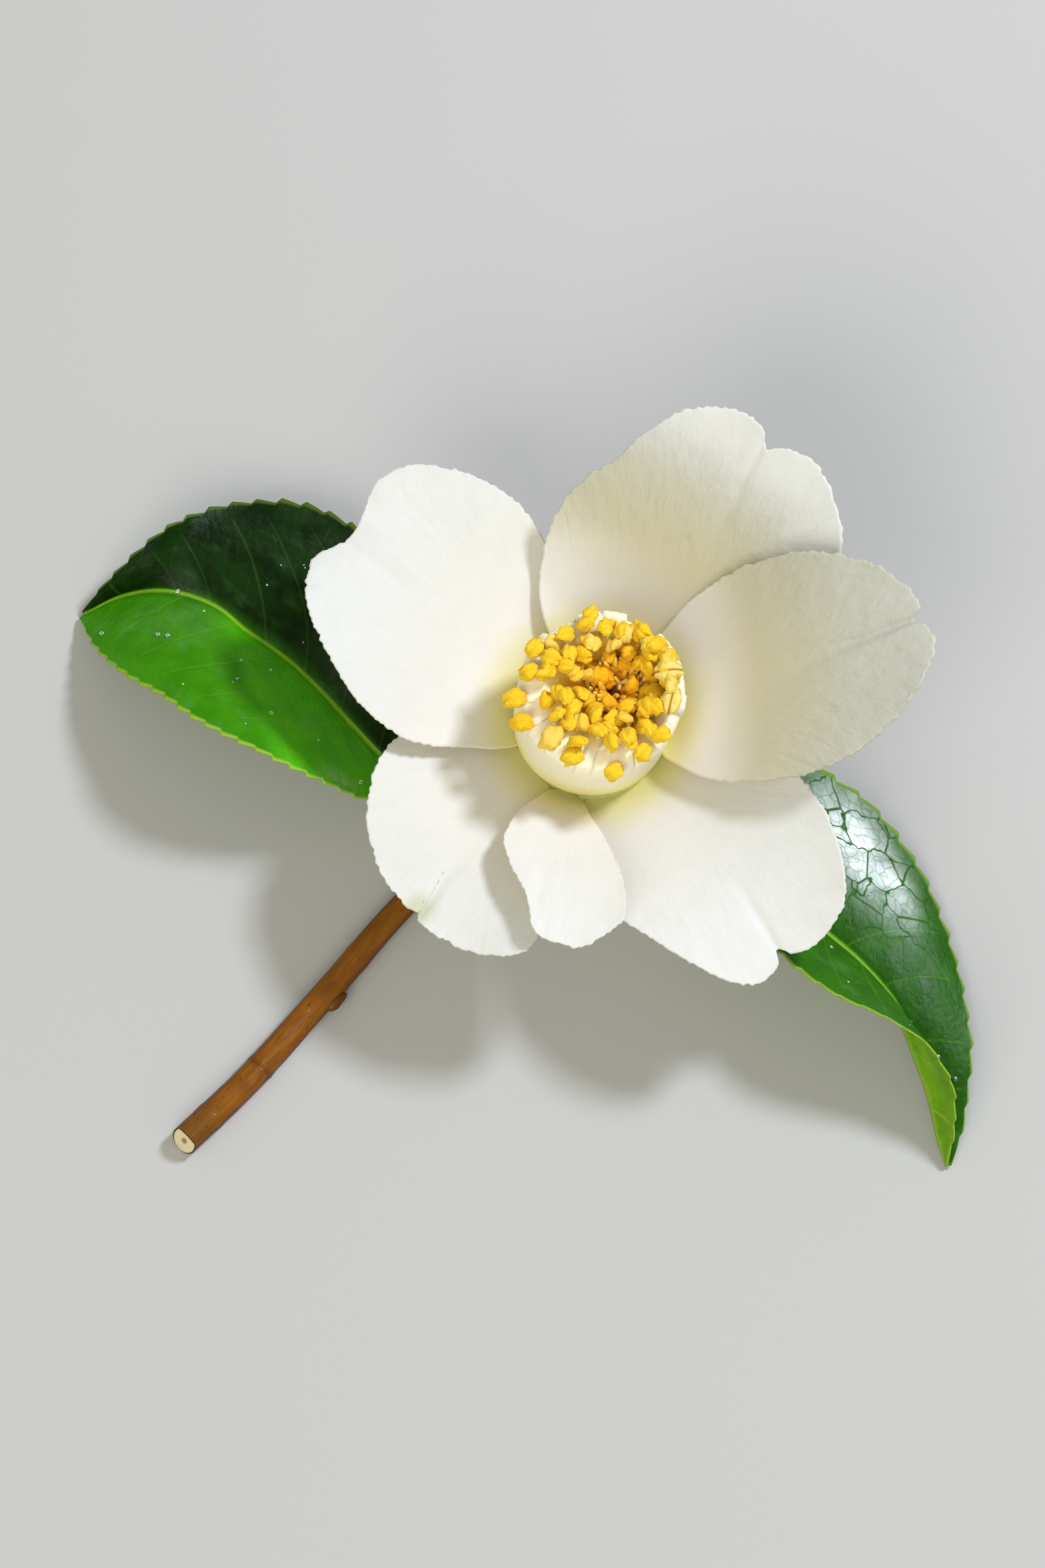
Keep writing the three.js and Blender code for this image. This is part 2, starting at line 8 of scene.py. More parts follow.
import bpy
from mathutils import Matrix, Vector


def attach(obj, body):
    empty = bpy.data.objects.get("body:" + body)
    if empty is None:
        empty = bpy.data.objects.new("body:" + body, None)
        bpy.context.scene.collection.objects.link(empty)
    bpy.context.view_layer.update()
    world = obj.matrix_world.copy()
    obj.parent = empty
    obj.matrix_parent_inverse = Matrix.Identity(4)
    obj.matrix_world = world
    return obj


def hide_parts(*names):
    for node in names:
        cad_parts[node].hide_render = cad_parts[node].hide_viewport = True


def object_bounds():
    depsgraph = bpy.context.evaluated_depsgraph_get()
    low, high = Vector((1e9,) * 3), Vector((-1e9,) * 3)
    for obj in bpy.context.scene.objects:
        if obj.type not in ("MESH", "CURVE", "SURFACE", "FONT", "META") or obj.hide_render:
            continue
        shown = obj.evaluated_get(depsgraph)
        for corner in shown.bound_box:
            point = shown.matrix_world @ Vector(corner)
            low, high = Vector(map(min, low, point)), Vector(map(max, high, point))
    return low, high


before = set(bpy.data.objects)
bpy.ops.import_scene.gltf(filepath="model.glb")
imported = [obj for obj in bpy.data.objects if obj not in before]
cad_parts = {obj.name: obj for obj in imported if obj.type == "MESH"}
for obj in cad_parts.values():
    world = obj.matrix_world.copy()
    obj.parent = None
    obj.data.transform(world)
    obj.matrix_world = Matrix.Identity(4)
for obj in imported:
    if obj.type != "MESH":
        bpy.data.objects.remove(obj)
cad_low, cad_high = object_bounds()
print("nodes:", ", ".join(sorted(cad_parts)))

# %% Tools of the trade
import bisect
import functools
import math
import random

import bmesh
import bpy
from mathutils import Matrix, Vector, noise

MM = 0.001  # the plant is measured in millimetres, and Blender in metres
UP = Vector((0, 0, 1))
FULL_TURN = 2 * math.pi


def lerp(a, b, share):
    return a + (b - a) * share


def smooth(value, low, high):
    """0 below low, 1 above high, and a smooth rise between them."""
    share = min(max((value - low) / (high - low), 0), 1)
    return share * share * (3 - 2 * share)


def hump(distance, width):
    """A bell curve: 1 at no distance, and nearly 0 beyond twice the width."""
    return math.exp(-((distance / width) ** 2))


def lumps(x, y, z):
    """Smooth noise that swings round 0, with lumps about one unit across."""
    return noise.noise(Vector((x, y, z)))


def polar(radius, angle, z=0):
    """The point at a radius and an angle round the upright axis."""
    return Vector((radius * math.cos(angle), radius * math.sin(angle), z))


# %% [markdown]
# ## Camera
# The flower is seen from a steep 74 degrees above the surface, through a long lens, which keeps
# the near petals from looking larger than the far ones.

# %% Set up the camera
VIEW_ELEVATION = math.radians(74)
VIEW_DISTANCE = 1.0  # metres
LENS = 200  # millimetres

middle = (cad_low + cad_high) / 2


def aim(name, data, out, distance):
    """Stands a camera or a light off in the direction out, and turns it to the flower."""
    holder = bpy.data.objects.new(name, data)
    holder.location = middle + out * distance
    holder.rotation_euler = out.to_track_quat("Z", "Y").to_euler()
    bpy.context.scene.collection.objects.link(holder)
    return holder


towards = Vector((0, -math.cos(VIEW_ELEVATION), math.sin(VIEW_ELEVATION)))
camera = aim("camera", bpy.data.cameras.new("camera"), towards, VIEW_DISTANCE)
camera.data.lens = LENS
camera.data.clip_start, camera.data.clip_end = 0.05, 10
bpy.context.scene.camera = camera
print("camera at", [round(c, 3) for c in camera.location])

# %% [markdown]
# ## Light
# A key light from the upper right draws the column's shadow over the petals on the left, and
# shines through the two petals that turn their backs to it. A broad, warmer light from the
# lower left and a pale warm sky fill the shadows.


# %% Hang the lights
def area_light(name, azimuth, elevation, distance, size, power, colour):
    """A round soft light that looks at the flower. Azimuth 0 is to the right and 90 behind."""
    lamp = bpy.data.lights.new(name, "AREA")
    lamp.shape, lamp.size, lamp.energy, lamp.color = "DISK", size, power, colour
    rise = math.radians(elevation)
    aim(name, lamp, polar(math.cos(rise), math.radians(azimuth), math.sin(rise)), distance)
    print(name, "shines from", azimuth, "degrees round,", elevation, "up")


area_light("key_light", 34, 47, distance=0.9, size=0.16, power=6.75, colour=(0.885, 0.935, 1.06))
area_light("fill_light", 245, 44, distance=1.0, size=0.8, power=5.5, colour=(1, 0.99, 0.9))

world = bpy.data.worlds.new("studio")
bpy.context.scene.world = world
world.use_nodes = True
sky = world.node_tree.nodes["Background"].inputs
sky["Color"].default_value, sky["Strength"].default_value = (1, 0.985, 0.88, 1), 0.4
bpy.context.scene.view_settings.view_transform = "Standard"

# %% [markdown]
# ## Building materials
# Every finish below is a small tree of shader nodes. One function adds a node with its settings
# and links, and one turns a colour as a painter names it (sRGB) into the linear light that the
# renderer works in. As in painting, most finishes are a ground colour with thin coats over it.

# %% Helpers for materials
# How each node of a kind is set here: its settings, the inputs that its values go to, and the
# output that is used. The others take their values in the order of their inputs.
HABITS = {
    "Attribute": ({"attribute_name": "grown"}, (), "Vector"),
    "Mix": ({"data_type": "RGBA"}, (0, 6, 7), 2),
    "MapRange": ({"interpolation_type": "SMOOTHSTEP"}, (0, 1, 2, 3, 4), 0),
}
ALL_THREE = slice(3)  # asks a node for its three outputs


def linear(hex_colour):
    """An sRGB colour such as 0xf4f3ea as linear red, green, blue and alpha."""
    parts = [(hex_colour >> shift & 255) / 255 for shift in (16, 8, 0)]
    return [c / 12.92 if c <= 0.04045 else ((c + 0.055) / 1.055) ** 2.4 for c in parts] + [1]


def add_node(material, kind, *values, output=None, **settings):
    """Adds a node, such as "Math ADD", and gives its output. The values, or a dict that names
    their inputs, are numbers, hex colours or the outputs of other nodes."""
    kind, _, operation = kind.partition(" ")
    usual, places, usual_output = HABITS.get(kind, ({}, range(9), 0))
    node = material.node_tree.nodes.new("ShaderNode" + kind)
    for name, value in {**usual, **settings}.items():
        setattr(node, name, value)
    if operation:
        node.operation = operation
    named = values and isinstance(values[0], dict)
    for place, value in (values[0] if named else dict(zip(places, values))).items():
        socket = node.inputs[place]
        if isinstance(value, bpy.types.NodeSocket):
            material.node_tree.links.new(value, socket)
        else:
            is_hex = socket.type == "RGBA" and isinstance(value, int)
            socket.default_value = linear(value) if is_hex else value
    if node.outputs:
        return node.outputs[usual_output if output is None else output]


def new_material(name):
    """An empty material, and the function that adds a node to it."""
    material = bpy.data.materials.new(name)
    material.use_nodes = True
    material.node_tree.nodes.clear()
    return material, functools.partial(add_node, material)


def grain(node, place, size, detail=2.0, stretch=(1, 1, 1)):
    """Noise whose lumps are about size across, in the unit of place, and stretched along axes."""
    spot = node("Mapping", {"Vector": place, "Scale": [1 / (size * s) for s in stretch]})
    return node("TexNoise", {"Vector": spot, "Scale": 1, "Detail": detail})


def painted(node, base, *coats):
    """Lays coats over a colour. Each gives the value that it follows, a low and a high of it,
    how strong the coat is at either, and its colour."""
    for where, low, high, at_low, at_high, colour in coats:
        base = node("Mix", node("MapRange", where, low, high, at_low, at_high), base, colour)
    return base


# %% [markdown]
# ## Growing pieces
# Petals and leaves start as flat grids of faces, whose points then move to their places on the
# living surface. Stalks and filaments start as a disc that is extruded ring by ring along a line.
# The lines themselves run smoothly through a few points, by Catmull and Rom's method.


# %% Smooth lines through points
def line_through(points, closed=False, samples=40):
    """A smooth line. The function it returns gives the point at a share of the line's length."""
    points = [Vector(p) for p in points]
    if closed:
        knots = [points[-1], *points, points[0], points[1]]
    else:
        knots = [2 * points[0] - points[1], *points, 2 * points[-1] - points[-2]]
    path = []
    for p0, p1, p2, p3 in zip(knots, knots[1:], knots[2:], knots[3:]):
        gaps = (p1 - p0, p2 - p1, p3 - p2)
        d0, d1, d2 = [1 if closed else math.sqrt(gap.length) or 1 for gap in gaps]
        m1 = ((p1 - p0) / d0 - (p2 - p0) / (d0 + d1) + (p2 - p1) / d1) * d1
        m2 = ((p2 - p1) / d1 - (p3 - p1) / (d1 + d2) + (p3 - p2) / d2) * d1
        for i in range(samples):
            t = i / samples
            path.append(
                p1 * (2 * t**3 - 3 * t**2 + 1) + m1 * (t**3 - 2 * t**2 + t)
                + p2 * (3 * t**2 - 2 * t**3) + m2 * (t**3 - t**2)
            )
    path.append(points[0 if closed else -1].copy())
    lengths = [0.0]
    for a, b in zip(path, path[1:]):
        lengths.append(lengths[-1] + (b - a).length)

    def at(share):
        goal = min(max(share, 0), 1) * lengths[-1]
        i = min(bisect.bisect_right(lengths, goal), len(path) - 1)
        step = lengths[i] - lengths[i - 1]
        return path[i - 1].lerp(path[i], (goal - lengths[i - 1]) / step if step else 0)

    at.length = lengths[-1]
    return at


def ahead(line, share):
    """The direction in which a line runs at a share of its length."""
    return (line(share + 0.004) - line(share - 0.004)).normalized()


# %% Pieces, sheets and tubes
def add_piece(bm, name, materials, nodes, depth=None):
    """Makes a mesh into a smooth piece that rides on the flower and stands for its nodes. With
    a depth, a Solidify modifier thickens a sheet by its points' weights, the last material
    below. Without one, the mesh is closed already, and its normals are turned outwards."""
    if depth is None:
        bmesh.ops.recalc_face_normals(bm, faces=bm.faces)
    for vert in bm.verts:
        vert.co.z = max(vert.co.z, 0)  # nothing sinks into the surface
    mesh = bpy.data.meshes.new(name)
    bm.to_mesh(mesh)
    bm.free()
    mesh.polygons.foreach_set("use_smooth", [True] * len(mesh.polygons))
    for material in materials:
        mesh.materials.append(material)
    piece = bpy.data.objects.new(name, mesh)
    bpy.context.scene.collection.objects.link(piece)
    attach(piece, "root")
    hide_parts(*nodes)
    if depth is not None:
        piece.vertex_groups.new(name="depth")
        solid = piece.modifiers.new("depth", "SOLIDIFY")
        solid.thickness, solid.offset, solid.vertex_group = depth * MM, -1, "depth"
        solid.material_offset = len(materials) - 1
    print(name, "has", len(mesh.vertices), "points")


def sheet(columns, rows):
    """A flat grid from -1 to 1, and the layers for its points' growth and depth."""
    bm = bmesh.new()
    grown = bm.verts.layers.float_vector.new("grown")
    depth = bm.verts.layers.deform.verify()
    bmesh.ops.create_grid(bm, x_segments=columns, y_segments=rows, size=1)
    return bm, grown, depth


def ring_and_turn(u, v):
    """Turns a point of a square grid into its ring, from 0 to 1 at the rim, and its turn."""
    ring = max(abs(u), abs(v))
    if ring == 0:
        return 0, 0
    if abs(u) >= abs(v):
        return ring, ((0 if u > 0 else 0.5) + v / u / 8) % 1
    return ring, (0.25 if v > 0 else 0.75) - u / v / 8


def axes_across(direction):
    """Two directions across a line, the first level and the second as upright as it can be."""
    side = direction.cross(UP)
    side = side.normalized() if side.length > 1e-4 else Vector((1, 0, 0))
    return side, side.cross(direction).normalized()


def add_tube(bm, line, stations, sides, radius):
    """Extrudes a disc along a line. radius gives the millimetres at a share and an angle.
    Returns the first ring of points and the face that closes it."""
    store = bm.verts.layers.float_vector.get("grown") or bm.verts.layers.float_vector.new("grown")
    ring = bmesh.ops.create_circle(bm, cap_ends=True, radius=1, segments=sides)["verts"]
    first, foot = ring, ring[0].link_faces[0]
    cap = foot
    for i in range(stations + 1):
        if i:
            made = bmesh.ops.extrude_face_region(bm, geom=[cap])["geom"]
            if i > 1:
                bmesh.ops.delete(bm, geom=[cap], context="FACES_ONLY")
            cap = next(item for item in made if isinstance(item, bmesh.types.BMFace))
            fresh = list(cap.verts)
            ring = [min(fresh, key=lambda v: (v.co - old.co).length_squared) for old in ring]
        share = i / stations
        side, up = axes_across(ahead(line, share))
        for k, vert in enumerate(ring):
            angle = FULL_TURN * k / sides
            x, y = radius(share, angle) * math.cos(angle), radius(share, angle) * math.sin(angle)
            vert.co = (line(share) + side * x + up * y) * MM
            vert[store] = (share * line.length, x, y)
    return first, foot


# %% [markdown]
# ## Petals
# A camellia petal is a thin, matt, slightly fleshy blade: pure white, with a breath of yellow
# green at its foot, fine veins that fan out to the rim, a rim that is nicked and a little
# crimped, and often one deep notch. Light shines through it, so its shadowed side glows.
# A cloth simulation would lose the known outlines, so each grid follows its outline instead.

# %% What the petals measure
# Each petal rises from its foot at the slope rise, which turns into flare at its tip. level is
# the height of its foot, which dip lowers in passing. cup bends its right and left sides up, lean
# lifts its left side, ripple gives the height, count and start of the rim's waves, and creases
# run in from its nicks.
# The entry before the outline is painted shade: how strongly a cream grey darkens the petal, how
# far out that reaches, and the place to the right of the middle, in millimetres along the fan of
# veins, where it fades. -99 is beyond the rim. It is strongest on the two petals that turn their
# backs to the key light.
PETAL_FOOT = 9
FOOT_FADE = 2.4
FOOT_TUCK = 1.1  # how far the foot's rim is drawn in under the column
PETAL_CELLS = 112
PETAL_DEPTH = 0.55
PETAL_FREE = (12, 20)  # from the middle: where the rim begins to show nicks, and shows them all
PETAL_GROWN = (11, 20)  # along the petal: where its outer tissue begins, and is complete
NICK_DEPTH = 0.25
VEIN_FAN = 24
PETALS = {
    "petal_left": dict(
        azimuth=147, level=11.9, rise=0.75, flare=-0.1, reach=38, cup=(0.01, 0.01), lean=0.05,
        dip=0.3, ripple=(0.35, 4, 0.4), creases=[((-28.6, 19.1), (-19, 12), 0.22)],
        painted_shade=(0.1, 30, -99),
        outline=[
            (-9.2, -3.2), (-14, -3.9), (-18.6, -4.4), (-22.4, -3.7), (-26.8, -0.4), (-30.4, 5.2),
            (-32.5, 10.2), (-32.9, 13.8), (-31.9, 17.1), (-29.2, 18.7), (-27.5, 20), (-26.4, 22.2),
            (-24.9, 25.8), (-21.2, 27.8), (-16.6, 27.5), (-12.3, 26.3), (-8.2, 23.8), (-4.8, 19),
            (-4.2, 13), (-5.2, 8.3), (-8.3, 4.8), (-9.7, 1),
        ],
    ),
    "petal_top": dict(
        azimuth=56, level=13.3, rise=0.85, flare=0.55, reach=36, cup=(0.012, 0.012), lean=0.05,
        dip=1.0, ripple=(0.4, 5, 1.2), creases=[((19.8, 28), (12, 15), 0.35)],
        painted_shade=(1, 29.5, -9),
        outline=[
            (-4.1, 8.9), (-5.9, 13), (-5.8, 17.6), (-4.2, 21.8), (-1, 25), (3, 27), (6, 29.4),
            (9.6, 31.3), (13.5, 31.9), (17.4, 30.9), (19.6, 29), (19.9, 27), (22, 26.9),
            (25.2, 25.5), (27.4, 21.6), (28.5, 16.6), (27.2, 11.5), (22, 8), (15, 6), (9.5, 4.2),
            (7.4, 6.6), (3.8, 9.1), (-0.4, 9.8),
        ],
    ),
    "petal_right": dict(
        azimuth=8, level=15.3, rise=0.8, flare=0.55, reach=39, cup=(0.002, 0.022), lean=0,
        dip=1.6, ripple=(0.3, 4, 2), creases=[((36.4, 5.7), (17, 1.2), 0.6)],
        painted_shade=(0.95, 40, -99),
        outline=[
            (7, 7.1), (9, 10), (12, 12.4), (17.1, 14.3), (24, 14.7), (30.9, 12.8), (35.2, 10),
            (37.1, 7.2), (36.4, 5.7), (38, 4.4), (38.6, 1.8), (37.2, -1.9), (33.2, -6.4),
            (27, -9.7), (19.6, -10.2), (13, -8.4), (9, -4.8), (9.9, -1.2), (9.7, 3),
        ],
    ),
    "petal_lower_right": dict(
        azimuth=-54, level=10.7, rise=0.7, flare=-0.25, reach=38, cup=(0.01, 0.018), lean=0.1,
        dip=0, ripple=(0.35, 4, 0), creases=[((21.4, -29), (14, -17), 0.25)],
        painted_shade=(0, 30, -99),
        outline=[
            (9.9, -1.4), (14, -2.6), (19, -4.6), (23.2, -8.6), (26.3, -13.1), (28.3, -18.4),
            (28.9, -22.6), (28.2, -25.2), (25.4, -28.3), (23.2, -29.1), (21.2, -28.7),
            (21.2, -30.6), (19.1, -32.6), (15.6, -32.5), (11.5, -30.6), (6.4, -27.2), (2.6, -24),
            (0, -18), (-0.9, -12.5), (-0.6, -9.8), (4.1, -8.9), (8, -5.6),
        ],
    ),
    "petal_bottom": dict(
        azimuth=-93, level=12.4, rise=0.82, flare=-0.08, reach=30, cup=(0.02, 0.015), lean=0,
        dip=1.5, ripple=(0.3, 3, 1), creases=[((-7, -27), (-5, -17), 0.2)],
        painted_shade=(0, 30, -99),
        outline=[
            (-4.8, -8.9), (-6.6, -10), (-8.6, -12.2), (-10.1, -16), (-9.2, -19.4), (-7.4, -23.3),
            (-6.6, -27.3), (-4, -28.7), (-1, -29), (1.6, -27.5), (3.7, -25.4), (3.4, -20.5),
            (1.4, -15), (-0.4, -11.6), (-2, -9.8),
        ],
    ),
    "petal_lower_left": dict(
        azimuth=-133, level=10.7, rise=0.55, flare=-0.05, reach=32, cup=(0.01, 0.01), lean=0,
        dip=0, ripple=(0.35, 4, 2.4), creases=[((-19.8, -24.6), (-14, -15), 0.3)],
        painted_shade=(0.1, 30, -99),
        outline=[
            (-9.1, -3.4), (-14.5, -1.8), (-20, -1.2), (-23.6, -4.6), (-25.4, -9), (-25.7, -14.4),
            (-24.2, -19.5), (-21.4, -23.2), (-19.8, -24.2), (-19.7, -25.4), (-15.6, -28.1),
            (-10, -29.6), (-6.4, -27.6), (-5, -21), (-4.8, -15), (-4.7, -9.6), (-7.2, -6.6),
        ],
    ),
}
print(len(PETALS), "petals")


# %% The shape of one petal
def petal_axes(petal, x, y):
    """How far a point lies out along the petal, and how far to the petal's left."""
    turn = math.radians(petal["azimuth"])
    return x * math.cos(turn) + y * math.sin(turn), y * math.cos(turn) - x * math.sin(turn)


def petal_height(petal, x, y):
    """How high the petal's upper surface stands over a point of the ground."""
    out, aside = petal_axes(petal, x, y)
    out -= PETAL_FOOT
    run = (out + math.sqrt(out * out + 4)) / 2
    bend = (petal["flare"] - petal["rise"]) / (2 * (petal["reach"] - PETAL_FOOT))
    dip = petal["dip"] * hump(math.hypot(x, y) - PETAL_FOOT, FOOT_FADE)
    slope = petal["rise"] * run + bend * run * run
    cup = petal["cup"][1 if aside > 0 else 0] * aside**2
    return petal["level"] + slope + cup + petal["lean"] * aside - dip


def crease_depth(petal, x, y):
    """The furrow that runs in from a nick and fades on its way to the foot."""
    depth = 0
    for nick, end, deep in petal["creases"]:
        line = Vector(end) - Vector(nick)
        share = (Vector((x, y)) - Vector(nick)).dot(line) / line.length_squared
        off = (Vector(nick) + line * share - Vector((x, y))).length
        fade = smooth(share, -0.12, 0.02) * (1 - smooth(share, 0.3, 1))
        depth += deep * fade * hump(off, 0.4 + 1.1 * max(share, 0))
    return depth


def petal_point(petal, edge, centre, seed, ring, turn):
    """Where a point of the petal stands, and its place along the veins, both in millimetres."""
    rim = edge(turn)
    outward = (rim - centre).normalized()
    free = smooth(rim.length, *PETAL_FREE)
    travel = turn * edge.length
    nicks = lumps(travel / 0.55, seed, 3) + 0.6 * lumps(travel / 1.6, seed, 9)
    spot = centre.lerp(rim, ring) + outward * NICK_DEPTH * free * nicks * ring**30
    tuck = FOOT_TUCK * (1 - smooth(rim.length, 10.5, 12.5)) * ring**3
    spot -= spot.normalized() * tuck
    x, y = spot.x, spot.y
    high, waves, phase = petal["ripple"]
    z = petal_height(petal, x, y) + high * ring**4 * math.sin(FULL_TURN * waves * turn + phase)
    out, aside = petal_axes(petal, x, y)
    fan = math.atan2(aside, max(out - 2, 1)) * VEIN_FAN
    z += 0.16 * free * lumps(x / 7, y / 7, seed)
    z += 0.3 * free * ring**7 * lumps(travel / 3.4, seed, 5)
    z += 0.012 * smooth(out, *PETAL_GROWN) * lumps(fan / 0.9, out / 16, seed + 40)
    z -= crease_depth(petal, x, y)
    return Vector((x, y, z)), Vector((out, fan, seed))


# %% [markdown]
# ### The petal's finish
# Living petal: water-filled cells under a matt skin of tiny domes, which scatters light like
# velvet. About a third of the light goes through. The veins show as faint grey threads.
# A cream grey laid over the petals is painted shade, strongest on the two that turn their backs to
# the key light.

# %% Petal tissue
BRUISE = (-0.0196, -0.0236, 0)  # a green-tinged nick in the lower left petal


def petal_tissue():
    """White camellia petal, grown: matt, translucent, veined, with a yellow-green foot."""
    m, node = new_material("white_petal_tissue")
    grown, place = node("Attribute"), node("TexCoord", output="Object")
    flat = node("VectorMath MULTIPLY", place, (1, 1, 0))
    reach = node("VectorMath LENGTH", flat, output="Value")
    veins = grain(node, grown, 0.9, 3, (14, 1, 1))
    off_vein = node("Math ABSOLUTE", node("Math SUBTRACT", veins, 0.5))
    bruise = node("VectorMath DISTANCE", flat, BRUISE, output="Value")
    base = painted(
        node, 0xF0EA9A, (reach, 0.0088, 0.015, 0, 1, 0xFCFCFC),
        (grain(node, place, 0.003, 3), 0.4, 0.75, 0, 0.12, 0xE6E5DD),
        (off_vein, 0, 0.035, 0.07, 0, 0xD6D6CA), (bruise, 0.0004, 0.0028, 0.5, 0, 0xC9D38A),
    )
    # Painted shade: a cream grey, set per petal, that darkens most the two petals turned away from
    # the key light.
    painted_shade = node("Attribute", output="Fac", attribute_name="painted_shade")
    shaded = painted(node, 0xDAD5BA, (reach, 0.02, 0.034, 0, 1, 0xDADAD0))
    base = node("Mix", painted_shade, base, shaded)
    crimp = grain(node, grown, 1.1, 3, (1.8, 1, 1))
    crimp = node("Math MULTIPLY", crimp, node("MapRange", reach, 0.012, 0.03))
    crimp = node("Math MULTIPLY", crimp, node("MapRange", painted_shade, 0, 0.5, 1, 2.2))
    veins, crimp = node("Math MULTIPLY", veins, 0.15), node("Math MULTIPLY", crimp, 1.8)
    relief = node("Math ADD", veins, crimp)
    bump = node("Bump", {"Height": relief, "Distance": 0.00012, "Strength": 0.6})
    skin = node("BsdfPrincipled", {
        "Base Color": base, "Roughness": 0.55, "IOR": 1.4, "Specular IOR Level": 0.3,
        "Sheen Weight": 0.12, "Sheen Roughness": 0.5, "Normal": bump,
    })
    through = painted(node, 0xE2CF62, (reach, 0.011, 0.03, 0, 1, 0xD4D2B4))
    glow = node("BsdfTranslucent", {"Color": through, "Normal": bump})
    node("OutputMaterial", node("MixShader", 0.34, skin, glow))
    return m


PETAL_TISSUE = petal_tissue()


# %% Grow the petals
def add_petal(name, petal, seed):
    """Moves a grid onto the petal's surface, and lets add_piece give it its depth."""
    outline = [Vector((x, y, 0)) for x, y in petal["outline"]]
    edge = line_through(outline, closed=True)
    centre = sum(outline, Vector()) / len(outline)
    amount, reach, side = petal["painted_shade"]
    bm, grown, depth = sheet(PETAL_CELLS, PETAL_CELLS)
    painted_shade = bm.verts.layers.float.new("painted_shade")
    for vert in bm.verts:
        ring, turn = ring_and_turn(vert.co.x, vert.co.y)
        spot, veins = petal_point(petal, edge, centre, seed, ring, turn)
        vert.co, vert[grown] = spot * MM, veins
        # Painted shade, faded out along the petal and past the given place to its right.
        shade = amount * smooth(veins.x, *PETAL_GROWN) * smooth(veins.y, side - 4, side + 4)
        vert[painted_shade] = shade * (1 - smooth(veins.x, reach - 5, reach + 5))
        vert[depth][0] = lerp(1, 0.35, ring**6)
    bm.normal_update()
    if sum(face.normal.z for face in bm.faces) < 0:
        bmesh.ops.reverse_faces(bm, faces=bm.faces)
    piece_name = f"{name.removeprefix('petal_')}_petal"
    add_piece(bm, piece_name, [PETAL_TISSUE], [name], PETAL_DEPTH)


for number, (name, petal) in enumerate(PETALS.items()):
    add_petal(name, petal, seed=11.3 * number)

# %% [markdown]
# ## The stamen column
# In a camellia the many stamens are grown together into one thick white tube, which splits into
# single threads near its top. A profile spun round an axis gives the tube. Its points then move
# in and out, so that each thread shows as a rib, and the ribs end at different heights.

# %% What the column measures
COLUMN = [
    (9.1, 12.6, 0), (9.2, 17, 0), (9.5, 22.4, 0), (9.25, 23.5, 0), (7.9, 23.9, 0.1),
    (5.4, 22.8, 0.6), (3.7, 21.3, 0.9), (2.7, 19.4, 1), (2.3, 16.6, 1),
]  # radius, height, and how much of the hollow's shift each ring takes
COLUMN_RIM = 4
COLUMN_LEAN = (0.1, 0.02)
COLUMN_FLOOR = (16.2, 10)  # height inside the hollow, and ten times its shift
HOLLOW_SHIFT = (2.4, 1.5)
RIBS = 58
RIB_POINTS = 6
RIB_GROOVE = 0.4


def column_middle(z, shift):
    rise = z - COLUMN[0][1]
    x = COLUMN_LEAN[0] * rise + HOLLOW_SHIFT[0] * shift
    return Vector((x, COLUMN_LEAN[1] * rise + HOLLOW_SHIFT[1] * shift, z))


def column_top(radius, angle):
    """The point of the column's top at a radius and an angle."""
    upper = COLUMN[COLUMN_RIM - 1:]
    index = next(i for i, (r, _, _) in enumerate(upper) if r <= radius)
    outer, inner = upper[index - 1], upper[index]
    share = (outer[0] - radius) / (outer[0] - inner[0])
    spot = column_middle(lerp(outer[1], inner[1], share), lerp(outer[2], inner[2], share))
    return spot + polar(radius, angle)


# %% Stamen tissue
def thread_tissue():
    """Stamen thread, grown: wax-white and juicy, yellower inside the tube and at its foot."""
    m, node = new_material("cream_stamen_thread")
    grown = node("Attribute")
    inner, _, height = node("SeparateXYZ", grown, output=ALL_THREE)
    streak = grain(node, grown, 0.3, 2, (1, 1, 9))
    base = painted(
        node, 0xF6EC9C, (height, 12.4, 17, 0, 1, 0xFFF3D6), (inner, 0.1, 0.5, 0, 1, 0xFFE676),
        (inner, 0.4, 0.75, 0, 1, 0xFFC828), (streak, 0.45, 0.8, 0, 0.25, 0xE9DCAE),
    )
    bump = node("Bump", {"Height": streak, "Distance": 0.00006, "Strength": 0.5})
    skin = node("BsdfPrincipled", {
        "Base Color": base, "Roughness": node("MapRange", inner, 0.3, 0.6, 0.42, 0.75),
        "IOR": 1.4, "Subsurface Weight": 0.4, "Subsurface Radius": (1.0, 0.9, 0.7),
        "Subsurface Scale": 0.0012, "Normal": bump,
    })
    node("OutputMaterial", skin)
    return m


THREAD_TISSUE = thread_tissue()


# %% Spin the column
def spin_round(bm, chain, steps):
    """Spins a row of points a full turn round the upright axis, and closes the seam."""
    chain = chain + [bm.edges.new(pair) for pair in zip(chain, chain[1:])]
    bmesh.ops.spin(
        bm, geom=chain, axis=UP, cent=(0, 0, 0), angle=FULL_TURN, steps=steps, use_merge=True
    )
    bmesh.ops.remove_doubles(bm, verts=bm.verts, dist=1e-5)


def rib_lifts():
    """How high each rib stands over the rim. Neighbours that never split share a height."""
    rng = random.Random(5)
    lifts = []
    while len(lifts) < RIBS:
        lifts += [rng.uniform(-0.5, 1.1)] * rng.choice([2, 3, 3, 4, 5])
    return lifts[:RIBS]


